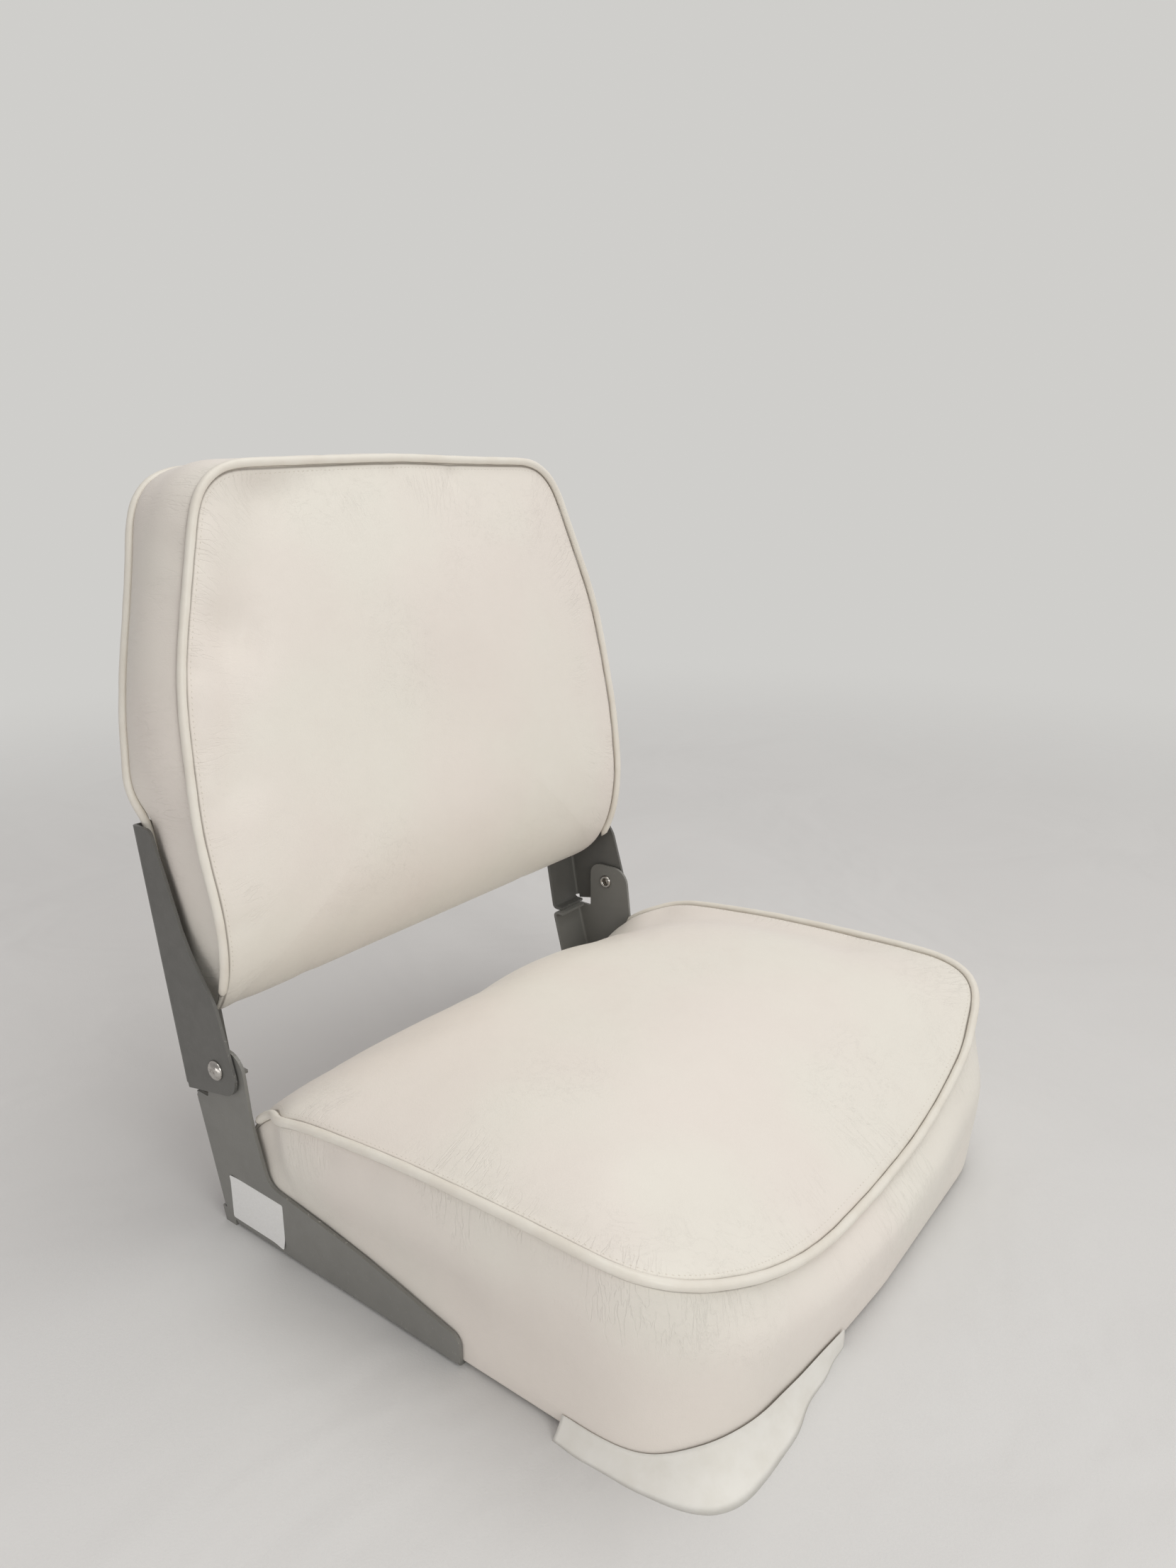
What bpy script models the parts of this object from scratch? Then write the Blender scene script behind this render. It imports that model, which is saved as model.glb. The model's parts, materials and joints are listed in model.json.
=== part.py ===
"""Folding boat seat: a box-cushion seat and back joined by folded sheet-steel hinge brackets.

Metres, +Z up, the sitter faces -Y. The origin is the middle of the base's underside, at the centre
of the square bolt pattern for a pedestal. The back folds forward about the two rivets, which lie on
one line along X through the empty named back_hinge.
"""
import math

import bmesh
import bpy
from mathutils import Matrix, Vector
from mathutils.geometry import tessellate_polygon

# Common sizes
SEAT_WIDTH = 0.400              # over the upper brackets
FIT = 0.0003                    # gap between pieces that touch
FOAM_FIT = 0.0012               # between a cover and its foam
VINYL = 0.0012
WELT_RADIUS = 0.0032
CUT = 0.001                     # how far a cutter runs past the face that it cuts
WELD = 0.000001

# Hinge and rivet
HINGE_Y = 0.165
HINGE_Z = 0.113
RIVET_RADIUS = 0.0040
RIVET_RUN = 0.0003              # clearance round the shank
RIVET_HEAD_RADIUS = 0.0066
RIVET_HEAD_HEIGHT = 0.0032
RIVET_ROLL_RADIUS = 0.0056
RIVET_ROLL_HEIGHT = 0.0018
RIVET_BORE_RADIUS = 0.0027
RIVET_BORE_DEPTH = 0.0050
WASHER_RADIUS = 0.0080
WASHER_THICKNESS = 0.0006

# Bracket sheet
SHEET = 0.0022
BEND = 0.0020                   # inside radius of every fold
RELIEF = 0.0015                 # slit between two folds at a corner
FLANGE_WIDTH = 0.034
LIP_LENGTH = 0.0055             # flat of the lips that butt as the open stop
STOP_DROP = 0.0246              # the stop plane, below the hinge
STOP_SHOULDER_GAP = 0.0014      # each side plate stays this far from the stop plane

# Lower bracket, side view
LOWER_REAR_Y = 0.175
LOWER_LEAN = math.radians(14.7)
LOWER_CORNER = 0.010            # flat corner between the rear and the bottom fold
TAB_REAR = 0.0165               # tab edges, from the hinge
TAB_FRONT = 0.0205
TAB_TOP = 0.0143
TAB_REAR_ROUND = 0.010
TAB_FRONT_ROUND = 0.014
NECK_Y = 0.1393
NECK_Z = 0.084
NECK_ROUND = 0.050
ELBOW_Y = 0.1274
ELBOW_Z = 0.0459
ELBOW_ROUND = 0.012
ARM_MIDDLE_Y = 0.050
ARM_MIDDLE_Z = 0.0362
ARM_MIDDLE_ROUND = 0.200
ARM_TIP_Y = -0.0312
ARM_TIP_TOP_Z = 0.0197
ARM_TIP_ROUND = 0.008
LOWER_SCREWS_Y = (0.000, 0.065, 0.130)

# Upper bracket, side view
UPPER_LEAN = math.radians(9.8)
UPPER_TOP_Z = 0.2575
UPPER_TOP_Y = 0.2100            # front of the top edge
UPPER_TOP_ROUND = 0.006
UPPER_WAIST_Y = 0.1850
UPPER_WAIST_Z = 0.191
UPPER_WAIST_ROUND = 0.060
UPPER_STEP_Y = 0.1606
UPPER_STEP_Z = 0.157
UPPER_STEP_ROUND = 0.018
UPPER_FOOT_Y = 0.1436
UPPER_FOOT_Z = 0.1010
UPPER_FOOT_ROUND = 0.0125
UPPER_SCREWS_Z = (0.182, 0.213, 0.244)

# Screws and tee nuts
SCREW_RADIUS = 0.0021
SCREW_HOLE_RADIUS = 0.0026
SCREW_LENGTH = 0.0100
PAN_HEAD_RADIUS = 0.0042
PAN_HEAD_HEIGHT = 0.0024
FLAT_HEAD_RADIUS = 0.0041
FLAT_HEAD_HEIGHT = 0.0018
SCREW_IN = 0.0255               # bracket screws, in from the outer face of the side plate
BOLT_SPACING = 0.127            # square pattern of the tee nuts
THREAD_RADIUS = 0.0032
TEE_BARREL_RADIUS = 0.0040
TEE_BARREL_RECESS = 0.0010
TEE_FLANGE_RADIUS = 0.0095
TEE_FLANGE_THICKNESS = 0.0016

# Seat base
PAN_TOP = 0.026
PAN_DECK = 0.0035
PAN_WALL = 0.0030
PAN_RIB = 0.0030
PAN_PAD_RADIUS = 0.0150
PAN_BOSS_RADIUS = 0.0160
PAN_SCREW_LAND = 0.021          # solid strip from the screws in to the rib lattice

# Seat cushion
SEAT_IN = 0.0062                # each side, in from the upper brackets
SEAT_REAR_Y = 0.1712
SEAT_FRONT_Y = -0.1800
SEAT_FRONT_BOW = 0.0065
SEAT_REAR_ROUND = 0.030
SEAT_FRONT_ROUND = 0.062
SEAT_LAP = 0.014                # cover turned in under the base
SEAT_EDGE = 0.003               # roundness of the bottom edge
SEAT_EDGE_FRONT = 0.010
SEAT_SEAM_Z = 0.1235            # welt height at the front of each side
SEAT_SEAM_FALL_Y = 0.180        # from there back, over this length,
SEAT_SEAM_FALL = 0.0195         # the welt falls by this
SEAT_SEAM_FRONT_Z = 0.0765      # welt height at the middle of the front,
SEAT_SEAM_CLIMB = 0.115         # from which it climbs over this length to each side
SEAT_ROLL = 0.092               # length of the rear roll
SEAT_SIDE_BULGE = 0.0095
SEAT_FRONT_BULGE = 0.0120
SEAT_TUCK = 0.0085              # how far the seam is drawn in behind the brackets
SEAT_TUCK_FROM = 0.098          # going back, the seam starts to be drawn in here
SEAT_TUCK_REACH = 0.020
SEAT_CROWN_Z = 0.1320
SEAT_CROWN_Y = 0.0

# Loose hem at one front corner
HEM_THICKNESS = 0.0010
HEM_START_Y = -0.1000
HEM_END_X = -0.040
HEM_STEP = 0.008
HEM_RISES = (0.0108, 0.0108, 0.0110, 0.0165, 0.0200, 0.0190, 0.0160, 0.0145, 0.0120)
HEM_SPREADS = (0.0068, 0.0080, 0.0125, 0.0247, 0.0204, 0.0140, 0.0080, 0.0040, 0.0010)

# Back cushion, in the back's own plane: heights along it are from the hinge
BACK_RAKE = math.radians(9.2)
BACK_REAR = 0.0322              # plane of the rear seam, behind the hinge
BACK_DEPTH = 0.0576             # from rear seam to front seam
BACK_BOTTOM = 0.0255
BACK_TOP = 0.3475
BACK_BOW = 0.0045
BACK_FOOT_IN = 0.0120           # each side, in from the upper brackets, at four heights
BACK_WIDEST_IN = 0.0032
BACK_WIDEST = 0.1500
BACK_BEND_IN = 0.0100
BACK_BEND = 0.2350
BACK_SHOULDER_IN = 0.0475
BACK_FOOT_ROUND = 0.012
BACK_SIDE_ROUND = 0.220
BACK_SHOULDER_ROUND = 0.036
BACK_TOP_ROUND = 0.400
BACK_EDGE_INSET = 0.0055        # the rear seam lies this far inside the front one,
BACK_INSET_TO = 0.166           # up to this height, between the brackets,
BACK_INSET_FADE = 0.020         # and less over this much more
BACK_BULGE = 0.0022
BACK_BULGE_FROM = 0.150         # no bulge below this height, between the brackets
BACK_BULGE_REACH = 0.100
BACK_ROLL = 0.090
BACK_CROWN = 0.0115
BACK_REAR_CROWN = 0.0048
BACK_REAR_ROLL = 0.0045         # width of the rear panel's sloping rim
BOARD_THICKNESS = 0.0080

# Rows of the crowned panels
ROW_NEAR = 0.0035               # from the seam, along the panel
ROW_FAR = 0.0110

# Fineness
LONGEST_STEP = 0.036
ARC_STEP = math.radians(16)
CUSHION_ARC_STEP = math.radians(23)
ROUND_SIDES = 18
SCREW_SIDES = 8
TEE_SIDES = 12
WELT_SIDES = 6
BEND_STEPS = 4

# Shapes of the cushions, as shares
SIDE_LEVEL_SHARES = (0.40, 0.72)
SIDE_BULGE_SHARES = (0.05, 0.80)
FRONT_BULGE_SHARES = (0.90, 1.00)
SEAM_SIDE_SHARE = 1.0
SEAM_FRONT_SHARE = -0.83
PANEL_SHARES = (0.16, 0.38, 0.68)
CROWN_POWER = 3.2
ROLL_POWER = 2.1
SEAT_WELT_END_SHARE = 0.75      # piping stops where the seam has sunk below this share of its height
BACK_WELT_END_SHARE = 0.60
OVAL_SHARE = 0.7                # the crown's level lines are ovals from this far in
PAN_HEAD_FLAT_SHARE = 0.7
REAR_WELT_SHARE = 0.6           # how far the back's rear piping faces rearwards, to 1 outwards

# Places worked out from the sizes
UPPER_OUTER_X = SEAT_WIDTH / 2
LOWER_OUTER_X = UPPER_OUTER_X - SHEET - WASHER_THICKNESS - 2 * FIT
LOWER_INNER_X = LOWER_OUTER_X - SHEET
FOLD = BEND + SHEET             # outside radius of a fold
SEAT_HALF_WIDTH = SEAT_WIDTH / 2 - SEAT_IN
STOP_Z = HINGE_Z - STOP_DROP
COVER_BOTTOM = SHEET + FIT
PAN_BOTTOM = COVER_BOTTOM + VINYL + FIT
RIVET_HOLE_RADIUS = RIVET_RADIUS + RIVET_RUN
SIDES = (("right", -1), ("left", 1))


# Small helpers

def smooth(value):
    """Smoothstep, held to 0 below 0 and to 1 above 1."""
    held = min(max(value, 0.0), 1.0)
    return held * held * (3 - 2 * held)


def mix(low, high, share):
    return low + (high - low) * share


def rounded(corners, arc_step=ARC_STEP):
    """Closed outline through corners of (a, b, radius), each radius drawn as an arc."""
    outline = []
    count = len(corners)
    for index, (a, b, radius) in enumerate(corners):
        corner = Vector((a, b))
        before = Vector(corners[index - 1][:2]) - corner
        after = Vector(corners[(index + 1) % count][:2]) - corner
        half = before.angle(after) / 2
        room = min(before.length, after.length) * 0.49
        reach = min(radius / math.tan(half), room) if radius else 0.0
        if not reach:
            outline.append(corner)
            continue
        before.normalize()
        after.normalize()
        centre = corner + (before + after).normalized() * reach / math.cos(half)
        start = corner + before * reach - centre
        outline.extend(arc(centre, start, corner + after * reach - centre, arc_step))
    return outline


def arc(centre, start, end, arc_step=ARC_STEP):
    """Points about a centre from one arm to the other, both ends included."""
    turn = start.angle_signed(end)
    steps = max(1, math.ceil(abs(turn) / arc_step))
    return [centre + Matrix.Rotation(-turn * step / steps, 2) @ start for step in range(steps + 1)]


def divided(outline):
    """The closed outline with its long edges cut into steps."""
    points = []
    for index, point in enumerate(outline):
        following = outline[(index + 1) % len(outline)]
        parts = max(1, math.ceil((following - point).length / LONGEST_STEP))
        points.extend(point.lerp(following, part / parts) for part in range(parts))
    return points


def circle(centre_a, centre_b, radius, sides):
    angles = [2 * math.pi * side / sides for side in range(sides)]
    return [Vector((centre_a + radius * math.cos(t), centre_b + radius * math.sin(t))) for t in angles]


def material(name, colour, roughness, metallic=0.0):
    finish = bpy.data.materials.new(name)
    finish.use_nodes = True
    shader = finish.node_tree.nodes["Principled BSDF"]
    shader.inputs["Base Color"].default_value = (*colour, 1.0)
    shader.inputs["Roughness"].default_value = roughness
    shader.inputs["Metallic"].default_value = metallic
    finish.diffuse_color = (*colour, 1.0)
    return finish


def finish_object(name, bm, finish, parent=None, is_closed=True):
    """Turn a bmesh into a named object, its faces pointing out where it is a closed body."""
    bmesh.ops.remove_doubles(bm, verts=bm.verts, dist=WELD)
    bmesh.ops.dissolve_degenerate(bm, dist=WELD, edges=bm.edges)
    if is_closed:
        bmesh.ops.recalc_face_normals(bm, faces=bm.faces)
    mesh = bpy.data.meshes.new(name)
    bm.to_mesh(mesh)
    bm.free()
    mesh.materials.append(finish)
    mesh.shade_smooth()
    mesh.set_sharp_from_angle(angle=math.radians(35))
    piece = bpy.data.objects.new(name, mesh)
    bpy.context.scene.collection.objects.link(piece)
    piece.parent = parent
    return piece


def loft(name, rings, finish, parent=None, start=None, end=None, middle=None):
    """Closed body through equal rings of points: ends are poles, or flat caps where there is none.

    With a middle given, each four-sided face is split so that it stands away from there, which
    keeps a cover and the foam under it apart.
    """
    bm = bmesh.new()
    rows = [[bm.verts.new(point) for point in ring] for ring in rings]
    count = len(rows[0])
    for low, high in zip(rows, rows[1:]):
        for i in range(count):
            j = (i + 1) % count
            corners = (low[i], low[j], high[j], high[i])
            if middle is None:
                bm.faces.new(corners)
                continue
            a, b, c, d = corners
            across = (c.co - a.co).cross(d.co - b.co)
            outward = across if across.dot(a.co - middle) > 0 else -across
            if (a.co + c.co - b.co - d.co).dot(outward) > 0:
                halves = ((a, b, c), (a, c, d))
            else:
                halves = ((a, b, d), (b, c, d))
            for half in halves:
                bm.faces.new(half)
    for row, pole in ((rows[0], start), (rows[-1], end)):
        if pole is None:
            bm.faces.new(row)
            continue
        tip = bm.verts.new(pole)
        for i in range(count):
            bm.faces.new((row[i], row[(i + 1) % count], tip))
    return finish_object(name, bm, finish, parent)


def turned(name, profile, sides, finish, place, parent=None):
    """Solid turned from (radius, distance) points about an axis, which place sets in the model."""
    rings = []
    for radius, along in profile[1:-1]:
        rings.append([place @ Vector((*point, along)) for point in circle(0, 0, radius, sides)])
    start = place @ Vector((0, 0, profile[0][1]))
    end = place @ Vector((0, 0, profile[-1][1]))
    return loft(name, rings, finish, parent, start, end)


def turned_ring(name, profile, sides, finish, place, parent=None):
    """Ring turned from a closed (radius, distance) profile."""
    bm = bmesh.new()
    rows = []
    for radius, along in profile:
        ring = [place @ Vector((*point, along)) for point in circle(0, 0, radius, sides)]
        rows.append([bm.verts.new(point) for point in ring])
    for index, low in enumerate(rows):
        high = rows[(index + 1) % len(rows)]
        for i in range(sides):
            j = (i + 1) % sides
            bm.faces.new((low[i], low[j], high[j], high[i]))
    return finish_object(name, bm, finish, parent)


def flat_patch(bm, outer, holes=()):
    """Flat faces that fill an outline round its holes."""
    loops = [list(outer), *[list(hole) for hole in holes]]
    verts = [bm.verts.new(point) for loop in loops for point in loop]
    for triangle in tessellate_polygon(loops):
        bm.faces.new([verts[i] for i in triangle])


def wall(bm, low, high):
    """Faces between two equal closed loops."""
    low_verts = [bm.verts.new(point) for point in low]
    high_verts = [bm.verts.new(point) for point in high]
    for i in range(len(low_verts)):
        j = (i + 1) % len(low_verts)
        bm.faces.new((low_verts[i], low_verts[j], high_verts[j], high_verts[i]))


def strip(bm, start, end, moves):
    """Carry the edge from start to end through a list of moves, leaving a face at each."""
    for move in moves:
        corners = (start, end, end + move, start + move)
        bm.faces.new([bm.verts.new(point) for point in corners])
        start = start + move
        end = end + move
    return start, end


def fold_moves(forward, inward, angle):
    """Moves round the outside of a fold that turns from forward towards inward."""
    def place(turn):
        return forward * math.sin(turn) * FOLD + inward * (1 - math.cos(turn)) * FOLD
    turns = [angle * step / BEND_STEPS for step in range(BEND_STEPS + 1)]
    return [place(high) - place(low) for low, high in zip(turns, turns[1:])]


def at_level(points, z):
    return [Vector((point[0], point[1], z)) for point in points]


# Hinge brackets

def sheet_metal(name, bm, side, finish, parent=None):
    """Thicken the outer skin of a folded bracket inwards."""
    bmesh.ops.remove_doubles(bm, verts=bm.verts, dist=WELD)
    bmesh.ops.recalc_face_normals(bm, faces=bm.faces)
    widest = max(bm.faces, key=lambda face: abs(face.normal.x) * face.calc_area())
    if widest.normal.x * side < 0:
        bmesh.ops.reverse_faces(bm, faces=bm.faces)
    piece = finish_object(name, bm, finish, parent, is_closed=False)
    thicken = piece.modifiers.new("sheet", "SOLIDIFY")
    thicken.thickness = SHEET
    thicken.offset = -1
    thicken.use_even_offset = True
    return piece


def side_point(side, x, y, z):
    return Vector((side * x, y, z))


def rear_flange(bm, side, x, foot, head, lean, lip_angle, lip_at_head):
    """Fold a flange inwards from a side plate's rear edge, with a lip turned forward at one end."""
    along = Vector((0, math.sin(lean), math.cos(lean)))
    rearward = Vector((0, math.cos(lean), -math.sin(lean)))
    inward = Vector((-side, 0, 0))
    start = side_point(side, x, *foot)
    end = side_point(side, x, *head)
    start, end = strip(bm, start, end, fold_moves(rearward, inward, math.pi / 2))
    inner_start = start + inward * (FLANGE_WIDTH - FOLD)
    inner_end = end + inward * (FLANGE_WIDTH - FOLD)
    lip_edge = (end, inner_end) if lip_at_head else (start, inner_start)
    direction = along if lip_at_head else -along
    moves = fold_moves(direction, -rearward, lip_angle)
    flat = (direction * math.cos(lip_angle) - rearward * math.sin(lip_angle)) * LIP_LENGTH
    strip(bm, *lip_edge, [*moves, flat])
    return start, end, inner_start, inner_end


def lower_bracket(side_name, side, finish):
    """Side plate with its tab and arm, rear flange with a stop lip, and bottom flange."""
    def rear_y(z, inset=0.0):
        return LOWER_REAR_Y + z * math.tan(LOWER_LEAN) - inset / math.cos(LOWER_LEAN)

    lip_angle = math.pi / 2 + LOWER_LEAN
    shoulder_z = STOP_Z - STOP_SHOULDER_GAP
    fold_top = STOP_Z - FIT / 2 - FOLD
    fold_foot = LOWER_CORNER + RELIEF
    bottom_rear = LOWER_REAR_Y - LOWER_CORNER - RELIEF
    bottom_front = ARM_TIP_Y + RELIEF
    corners = [
        (LOWER_REAR_Y, 0, 0), (rear_y(LOWER_CORNER), LOWER_CORNER, 0),
        (rear_y(LOWER_CORNER, FOLD), LOWER_CORNER, 0), (rear_y(fold_foot, FOLD), fold_foot, 0),
        (rear_y(fold_top, FOLD), fold_top, 0), (rear_y(shoulder_z, FOLD), shoulder_z, 0),
        (HINGE_Y + TAB_REAR, shoulder_z, RELIEF),
        (HINGE_Y + TAB_REAR, HINGE_Z + TAB_TOP, TAB_REAR_ROUND),
        (HINGE_Y - TAB_FRONT, HINGE_Z + TAB_TOP, TAB_FRONT_ROUND),
        (NECK_Y, NECK_Z, NECK_ROUND), (ELBOW_Y, ELBOW_Z, ELBOW_ROUND),
        (ARM_MIDDLE_Y, ARM_MIDDLE_Z, ARM_MIDDLE_ROUND),
        (ARM_TIP_Y, ARM_TIP_TOP_Z, ARM_TIP_ROUND), (ARM_TIP_Y, FOLD, 0), (bottom_front, FOLD, 0),
        (bottom_rear, FOLD, 0), (bottom_rear + RELIEF, FOLD, 0), (bottom_rear + RELIEF, 0, 0),
    ]
    bm = bmesh.new()
    outline = [side_point(side, LOWER_OUTER_X, *point) for point in rounded(corners)]
    hole = circle(HINGE_Y, HINGE_Z, RIVET_HOLE_RADIUS, ROUND_SIDES)
    flat_patch(bm, outline, [[side_point(side, LOWER_OUTER_X, *point) for point in hole]])

    foot = (rear_y(fold_foot, FOLD), fold_foot)
    head = (rear_y(fold_top, FOLD), fold_top)
    start, end, inner_start, inner_end = rear_flange(
        bm, side, LOWER_OUTER_X, foot, head, LOWER_LEAN, lip_angle, lip_at_head=True)
    flat_patch(bm, (start, end, inner_end, inner_start))

    inward = Vector((-side, 0, 0))
    start = side_point(side, LOWER_OUTER_X, bottom_front, FOLD)
    end = side_point(side, LOWER_OUTER_X, bottom_rear, FOLD)
    bottom_moves = fold_moves(Vector((0, 0, -1)), inward, math.pi / 2)
    start, end = strip(bm, start, end, bottom_moves)
    strip(bm, start, end, [inward * (FLANGE_WIDTH - FOLD)])
    bracket = sheet_metal(f"lower_bracket_{side_name}", bm, side, finish)
    countersink(bracket, side, finish)
    return bracket


def bottom_screw_x(side):
    return side * (LOWER_OUTER_X - SCREW_IN)


def countersink(bracket, side, finish):
    """Cut the countersunk screw holes in a bottom flange."""
    x = bottom_screw_x(side)
    slope = (FLAT_HEAD_RADIUS - SCREW_RADIUS) / FLAT_HEAD_HEIGHT
    mouth = FLAT_HEAD_RADIUS + 3 * FIT + slope * CUT
    throat = mouth - slope * (FLAT_HEAD_HEIGHT + CUT)
    bm = bmesh.new()
    for y in LOWER_SCREWS_Y:
        levels = ((mouth, -CUT), (throat, FLAT_HEAD_HEIGHT), (throat, SHEET + CUT))
        rings = [at_level(circle(x, y, radius, 2 * SCREW_SIDES), z) for radius, z in levels]
        for low, high in zip(rings, rings[1:]):
            wall(bm, low, high)
        flat_patch(bm, rings[0])
        flat_patch(bm, rings[-1])
    cutter = finish_object(f"cutter_{bracket.name}", bm, finish)
    cutter.hide_render = True
    cutter.display_type = "WIRE"
    cut = bracket.modifiers.new("countersinks", "BOOLEAN")
    cut.operation = "DIFFERENCE"
    cut.solver = "EXACT"
    cut.object = cutter


def upper_bracket(side_name, side, finish, hinge):
    """Side plate that overlaps the lower bracket's tab, and rear flange with a stop lip at its foot."""
    stop_rear_y = LOWER_REAR_Y + STOP_Z * math.tan(LOWER_LEAN) + SHEET

    def rear_y(z, inset=0.0):
        return stop_rear_y + (z - STOP_Z) * math.tan(UPPER_LEAN) - inset / math.cos(UPPER_LEAN)

    lip_angle = math.pi / 2 - UPPER_LEAN
    fold_foot = STOP_Z + FIT / 2 + FOLD
    foot_z = STOP_Z + STOP_SHOULDER_GAP
    corners = [
        (rear_y(foot_z, FOLD), foot_z, 0), (rear_y(fold_foot, FOLD), fold_foot, 0),
        (rear_y(UPPER_TOP_Z, FOLD), UPPER_TOP_Z, 0), (UPPER_TOP_Y, UPPER_TOP_Z, UPPER_TOP_ROUND),
        (UPPER_WAIST_Y, UPPER_WAIST_Z, UPPER_WAIST_ROUND),
        (UPPER_STEP_Y, UPPER_STEP_Z, UPPER_STEP_ROUND),
        (UPPER_FOOT_Y, UPPER_FOOT_Z, UPPER_FOOT_ROUND),
    ]
    bm = bmesh.new()
    outline = [side_point(side, UPPER_OUTER_X, *point) for point in rounded(corners)]
    hole = circle(HINGE_Y, HINGE_Z, RIVET_HOLE_RADIUS, ROUND_SIDES)
    flat_patch(bm, outline, [[side_point(side, UPPER_OUTER_X, *point) for point in hole]])

    foot = (rear_y(fold_foot, FOLD), fold_foot)
    head = (rear_y(UPPER_TOP_Z, FOLD), UPPER_TOP_Z)
    start, end, inner_start, inner_end = rear_flange(
        bm, side, UPPER_OUTER_X, foot, head, UPPER_LEAN, lip_angle, lip_at_head=False)
    holes = []
    for place in upper_screw_places(side):
        ring = circle(0, 0, SCREW_HOLE_RADIUS, 2 * SCREW_SIDES)
        holes.append([place @ Vector((*point, 0)) for point in ring])
    flat_patch(bm, (start, end, inner_end, inner_start), holes)
    bmesh.ops.translate(bm, verts=bm.verts, vec=-hinge.location)
    return sheet_metal(f"upper_bracket_{side_name}", bm, side, finish, hinge)


def upper_screw_places(side):
    """Places on the outer face of an upper rear flange, local +Z pointing into the back."""
    x = side * (UPPER_OUTER_X - SCREW_IN)
    stop_rear_y = LOWER_REAR_Y + STOP_Z * math.tan(LOWER_LEAN) + SHEET
    for z in UPPER_SCREWS_Z:
        y = stop_rear_y + (z - STOP_Z) * math.tan(UPPER_LEAN)
        yield Matrix.Translation((x, y, z)) @ Matrix.Rotation(math.pi / 2 - UPPER_LEAN, 4, "X")


# Fasteners

def hinge_rivet(side_name, side, finish):
    """Semi-tubular rivet: domed head outside, shank through both plates, rolled end inside."""
    out = UPPER_OUTER_X + FIT
    end = LOWER_INNER_X - FIT
    steps = (1, 2, 3, 4)
    dome = []
    for step in steps:
        angle = math.pi / 2 * step / len(steps)
        height = RIVET_HEAD_HEIGHT * math.cos(angle)
        dome.append((RIVET_HEAD_RADIUS * math.sin(angle), out + height))
    roll_middle = (RIVET_ROLL_RADIUS + RIVET_BORE_RADIUS) / 2
    profile = [
        (0, out + RIVET_HEAD_HEIGHT), *dome, (RIVET_RADIUS, out), (RIVET_RADIUS, end),
        (RIVET_ROLL_RADIUS, end), (RIVET_ROLL_RADIUS, end - RIVET_ROLL_HEIGHT / 2),
        (roll_middle, end - RIVET_ROLL_HEIGHT), (RIVET_BORE_RADIUS, end - RIVET_ROLL_HEIGHT / 2),
        (RIVET_BORE_RADIUS, end - RIVET_ROLL_HEIGHT + RIVET_BORE_DEPTH),
        (0, end - RIVET_ROLL_HEIGHT + RIVET_BORE_DEPTH),
    ]
    place = Matrix.Translation((0, HINGE_Y, HINGE_Z)) @ Matrix.Rotation(side * math.pi / 2, 4, "Y")
    turned(f"hinge_rivet_{side_name}", profile, ROUND_SIDES, finish, place)


def hinge_washer(side_name, side, finish):
    low = LOWER_OUTER_X + FIT
    high = low + WASHER_THICKNESS
    bore = RIVET_HOLE_RADIUS
    profile = [(WASHER_RADIUS, low), (WASHER_RADIUS, high), (bore, high), (bore, low)]
    place = Matrix.Translation((0, HINGE_Y, HINGE_Z)) @ Matrix.Rotation(side * math.pi / 2, 4, "Y")
    turned_ring(f"hinge_washer_{side_name}", profile, ROUND_SIDES, finish, place)


def pan_head_screws(finish, hinge):
    """Screws through the upper rear flanges, heads outside."""
    flat = PAN_HEAD_RADIUS * PAN_HEAD_FLAT_SHARE
    profile = [
        (0, -FIT - PAN_HEAD_HEIGHT), (flat, -FIT - PAN_HEAD_HEIGHT),
        (PAN_HEAD_RADIUS, -FIT - PAN_HEAD_HEIGHT / 2), (PAN_HEAD_RADIUS, -FIT), (SCREW_RADIUS, -FIT),
        (SCREW_RADIUS, SCREW_LENGTH - SCREW_RADIUS), (0, SCREW_LENGTH + SHEET),
    ]
    to_hinge = Matrix.Translation(-hinge.location)
    for side_name, side in SIDES:
        for number, place in enumerate(upper_screw_places(side), 1):
            name = f"back_screw_{side_name}_{number}"
            turned(name, profile, SCREW_SIDES, finish, to_hinge @ place, hinge)


def flat_head_screws(finish):
    """Countersunk screws up through the bottom flanges, flush below."""
    profile = [
        (0, FIT), (FLAT_HEAD_RADIUS, FIT), (SCREW_RADIUS, FIT + FLAT_HEAD_HEIGHT),
        (SCREW_RADIUS, PAN_BOTTOM + SCREW_LENGTH), (0, PAN_BOTTOM + SCREW_LENGTH + SHEET),
    ]
    for side_name, side in SIDES:
        for number, y in enumerate(LOWER_SCREWS_Y, 1):
            place = Matrix.Translation((bottom_screw_x(side), y, 0))
            turned(f"base_screw_{side_name}_{number}", profile, SCREW_SIDES, finish, place)


def bolt_places():
    half = BOLT_SPACING / 2
    return [(a * half, b * half) for a in (-1, 1) for b in (-1, 1)]


def tee_nuts(finish):
    flange_low = PAN_TOP - TEE_FLANGE_THICKNESS - FIT
    profile = [
        (THREAD_RADIUS, TEE_BARREL_RECESS), (TEE_BARREL_RADIUS, TEE_BARREL_RECESS),
        (TEE_BARREL_RADIUS, flange_low), (TEE_FLANGE_RADIUS, flange_low),
        (TEE_FLANGE_RADIUS, flange_low + TEE_FLANGE_THICKNESS),
        (THREAD_RADIUS, flange_low + TEE_FLANGE_THICKNESS),
    ]
    for number, (x, y) in enumerate(bolt_places(), 1):
        turned_ring(f"tee_nut_{number}", profile, TEE_SIDES, finish, Matrix.Translation((x, y, 0)))


# Cushions

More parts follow.
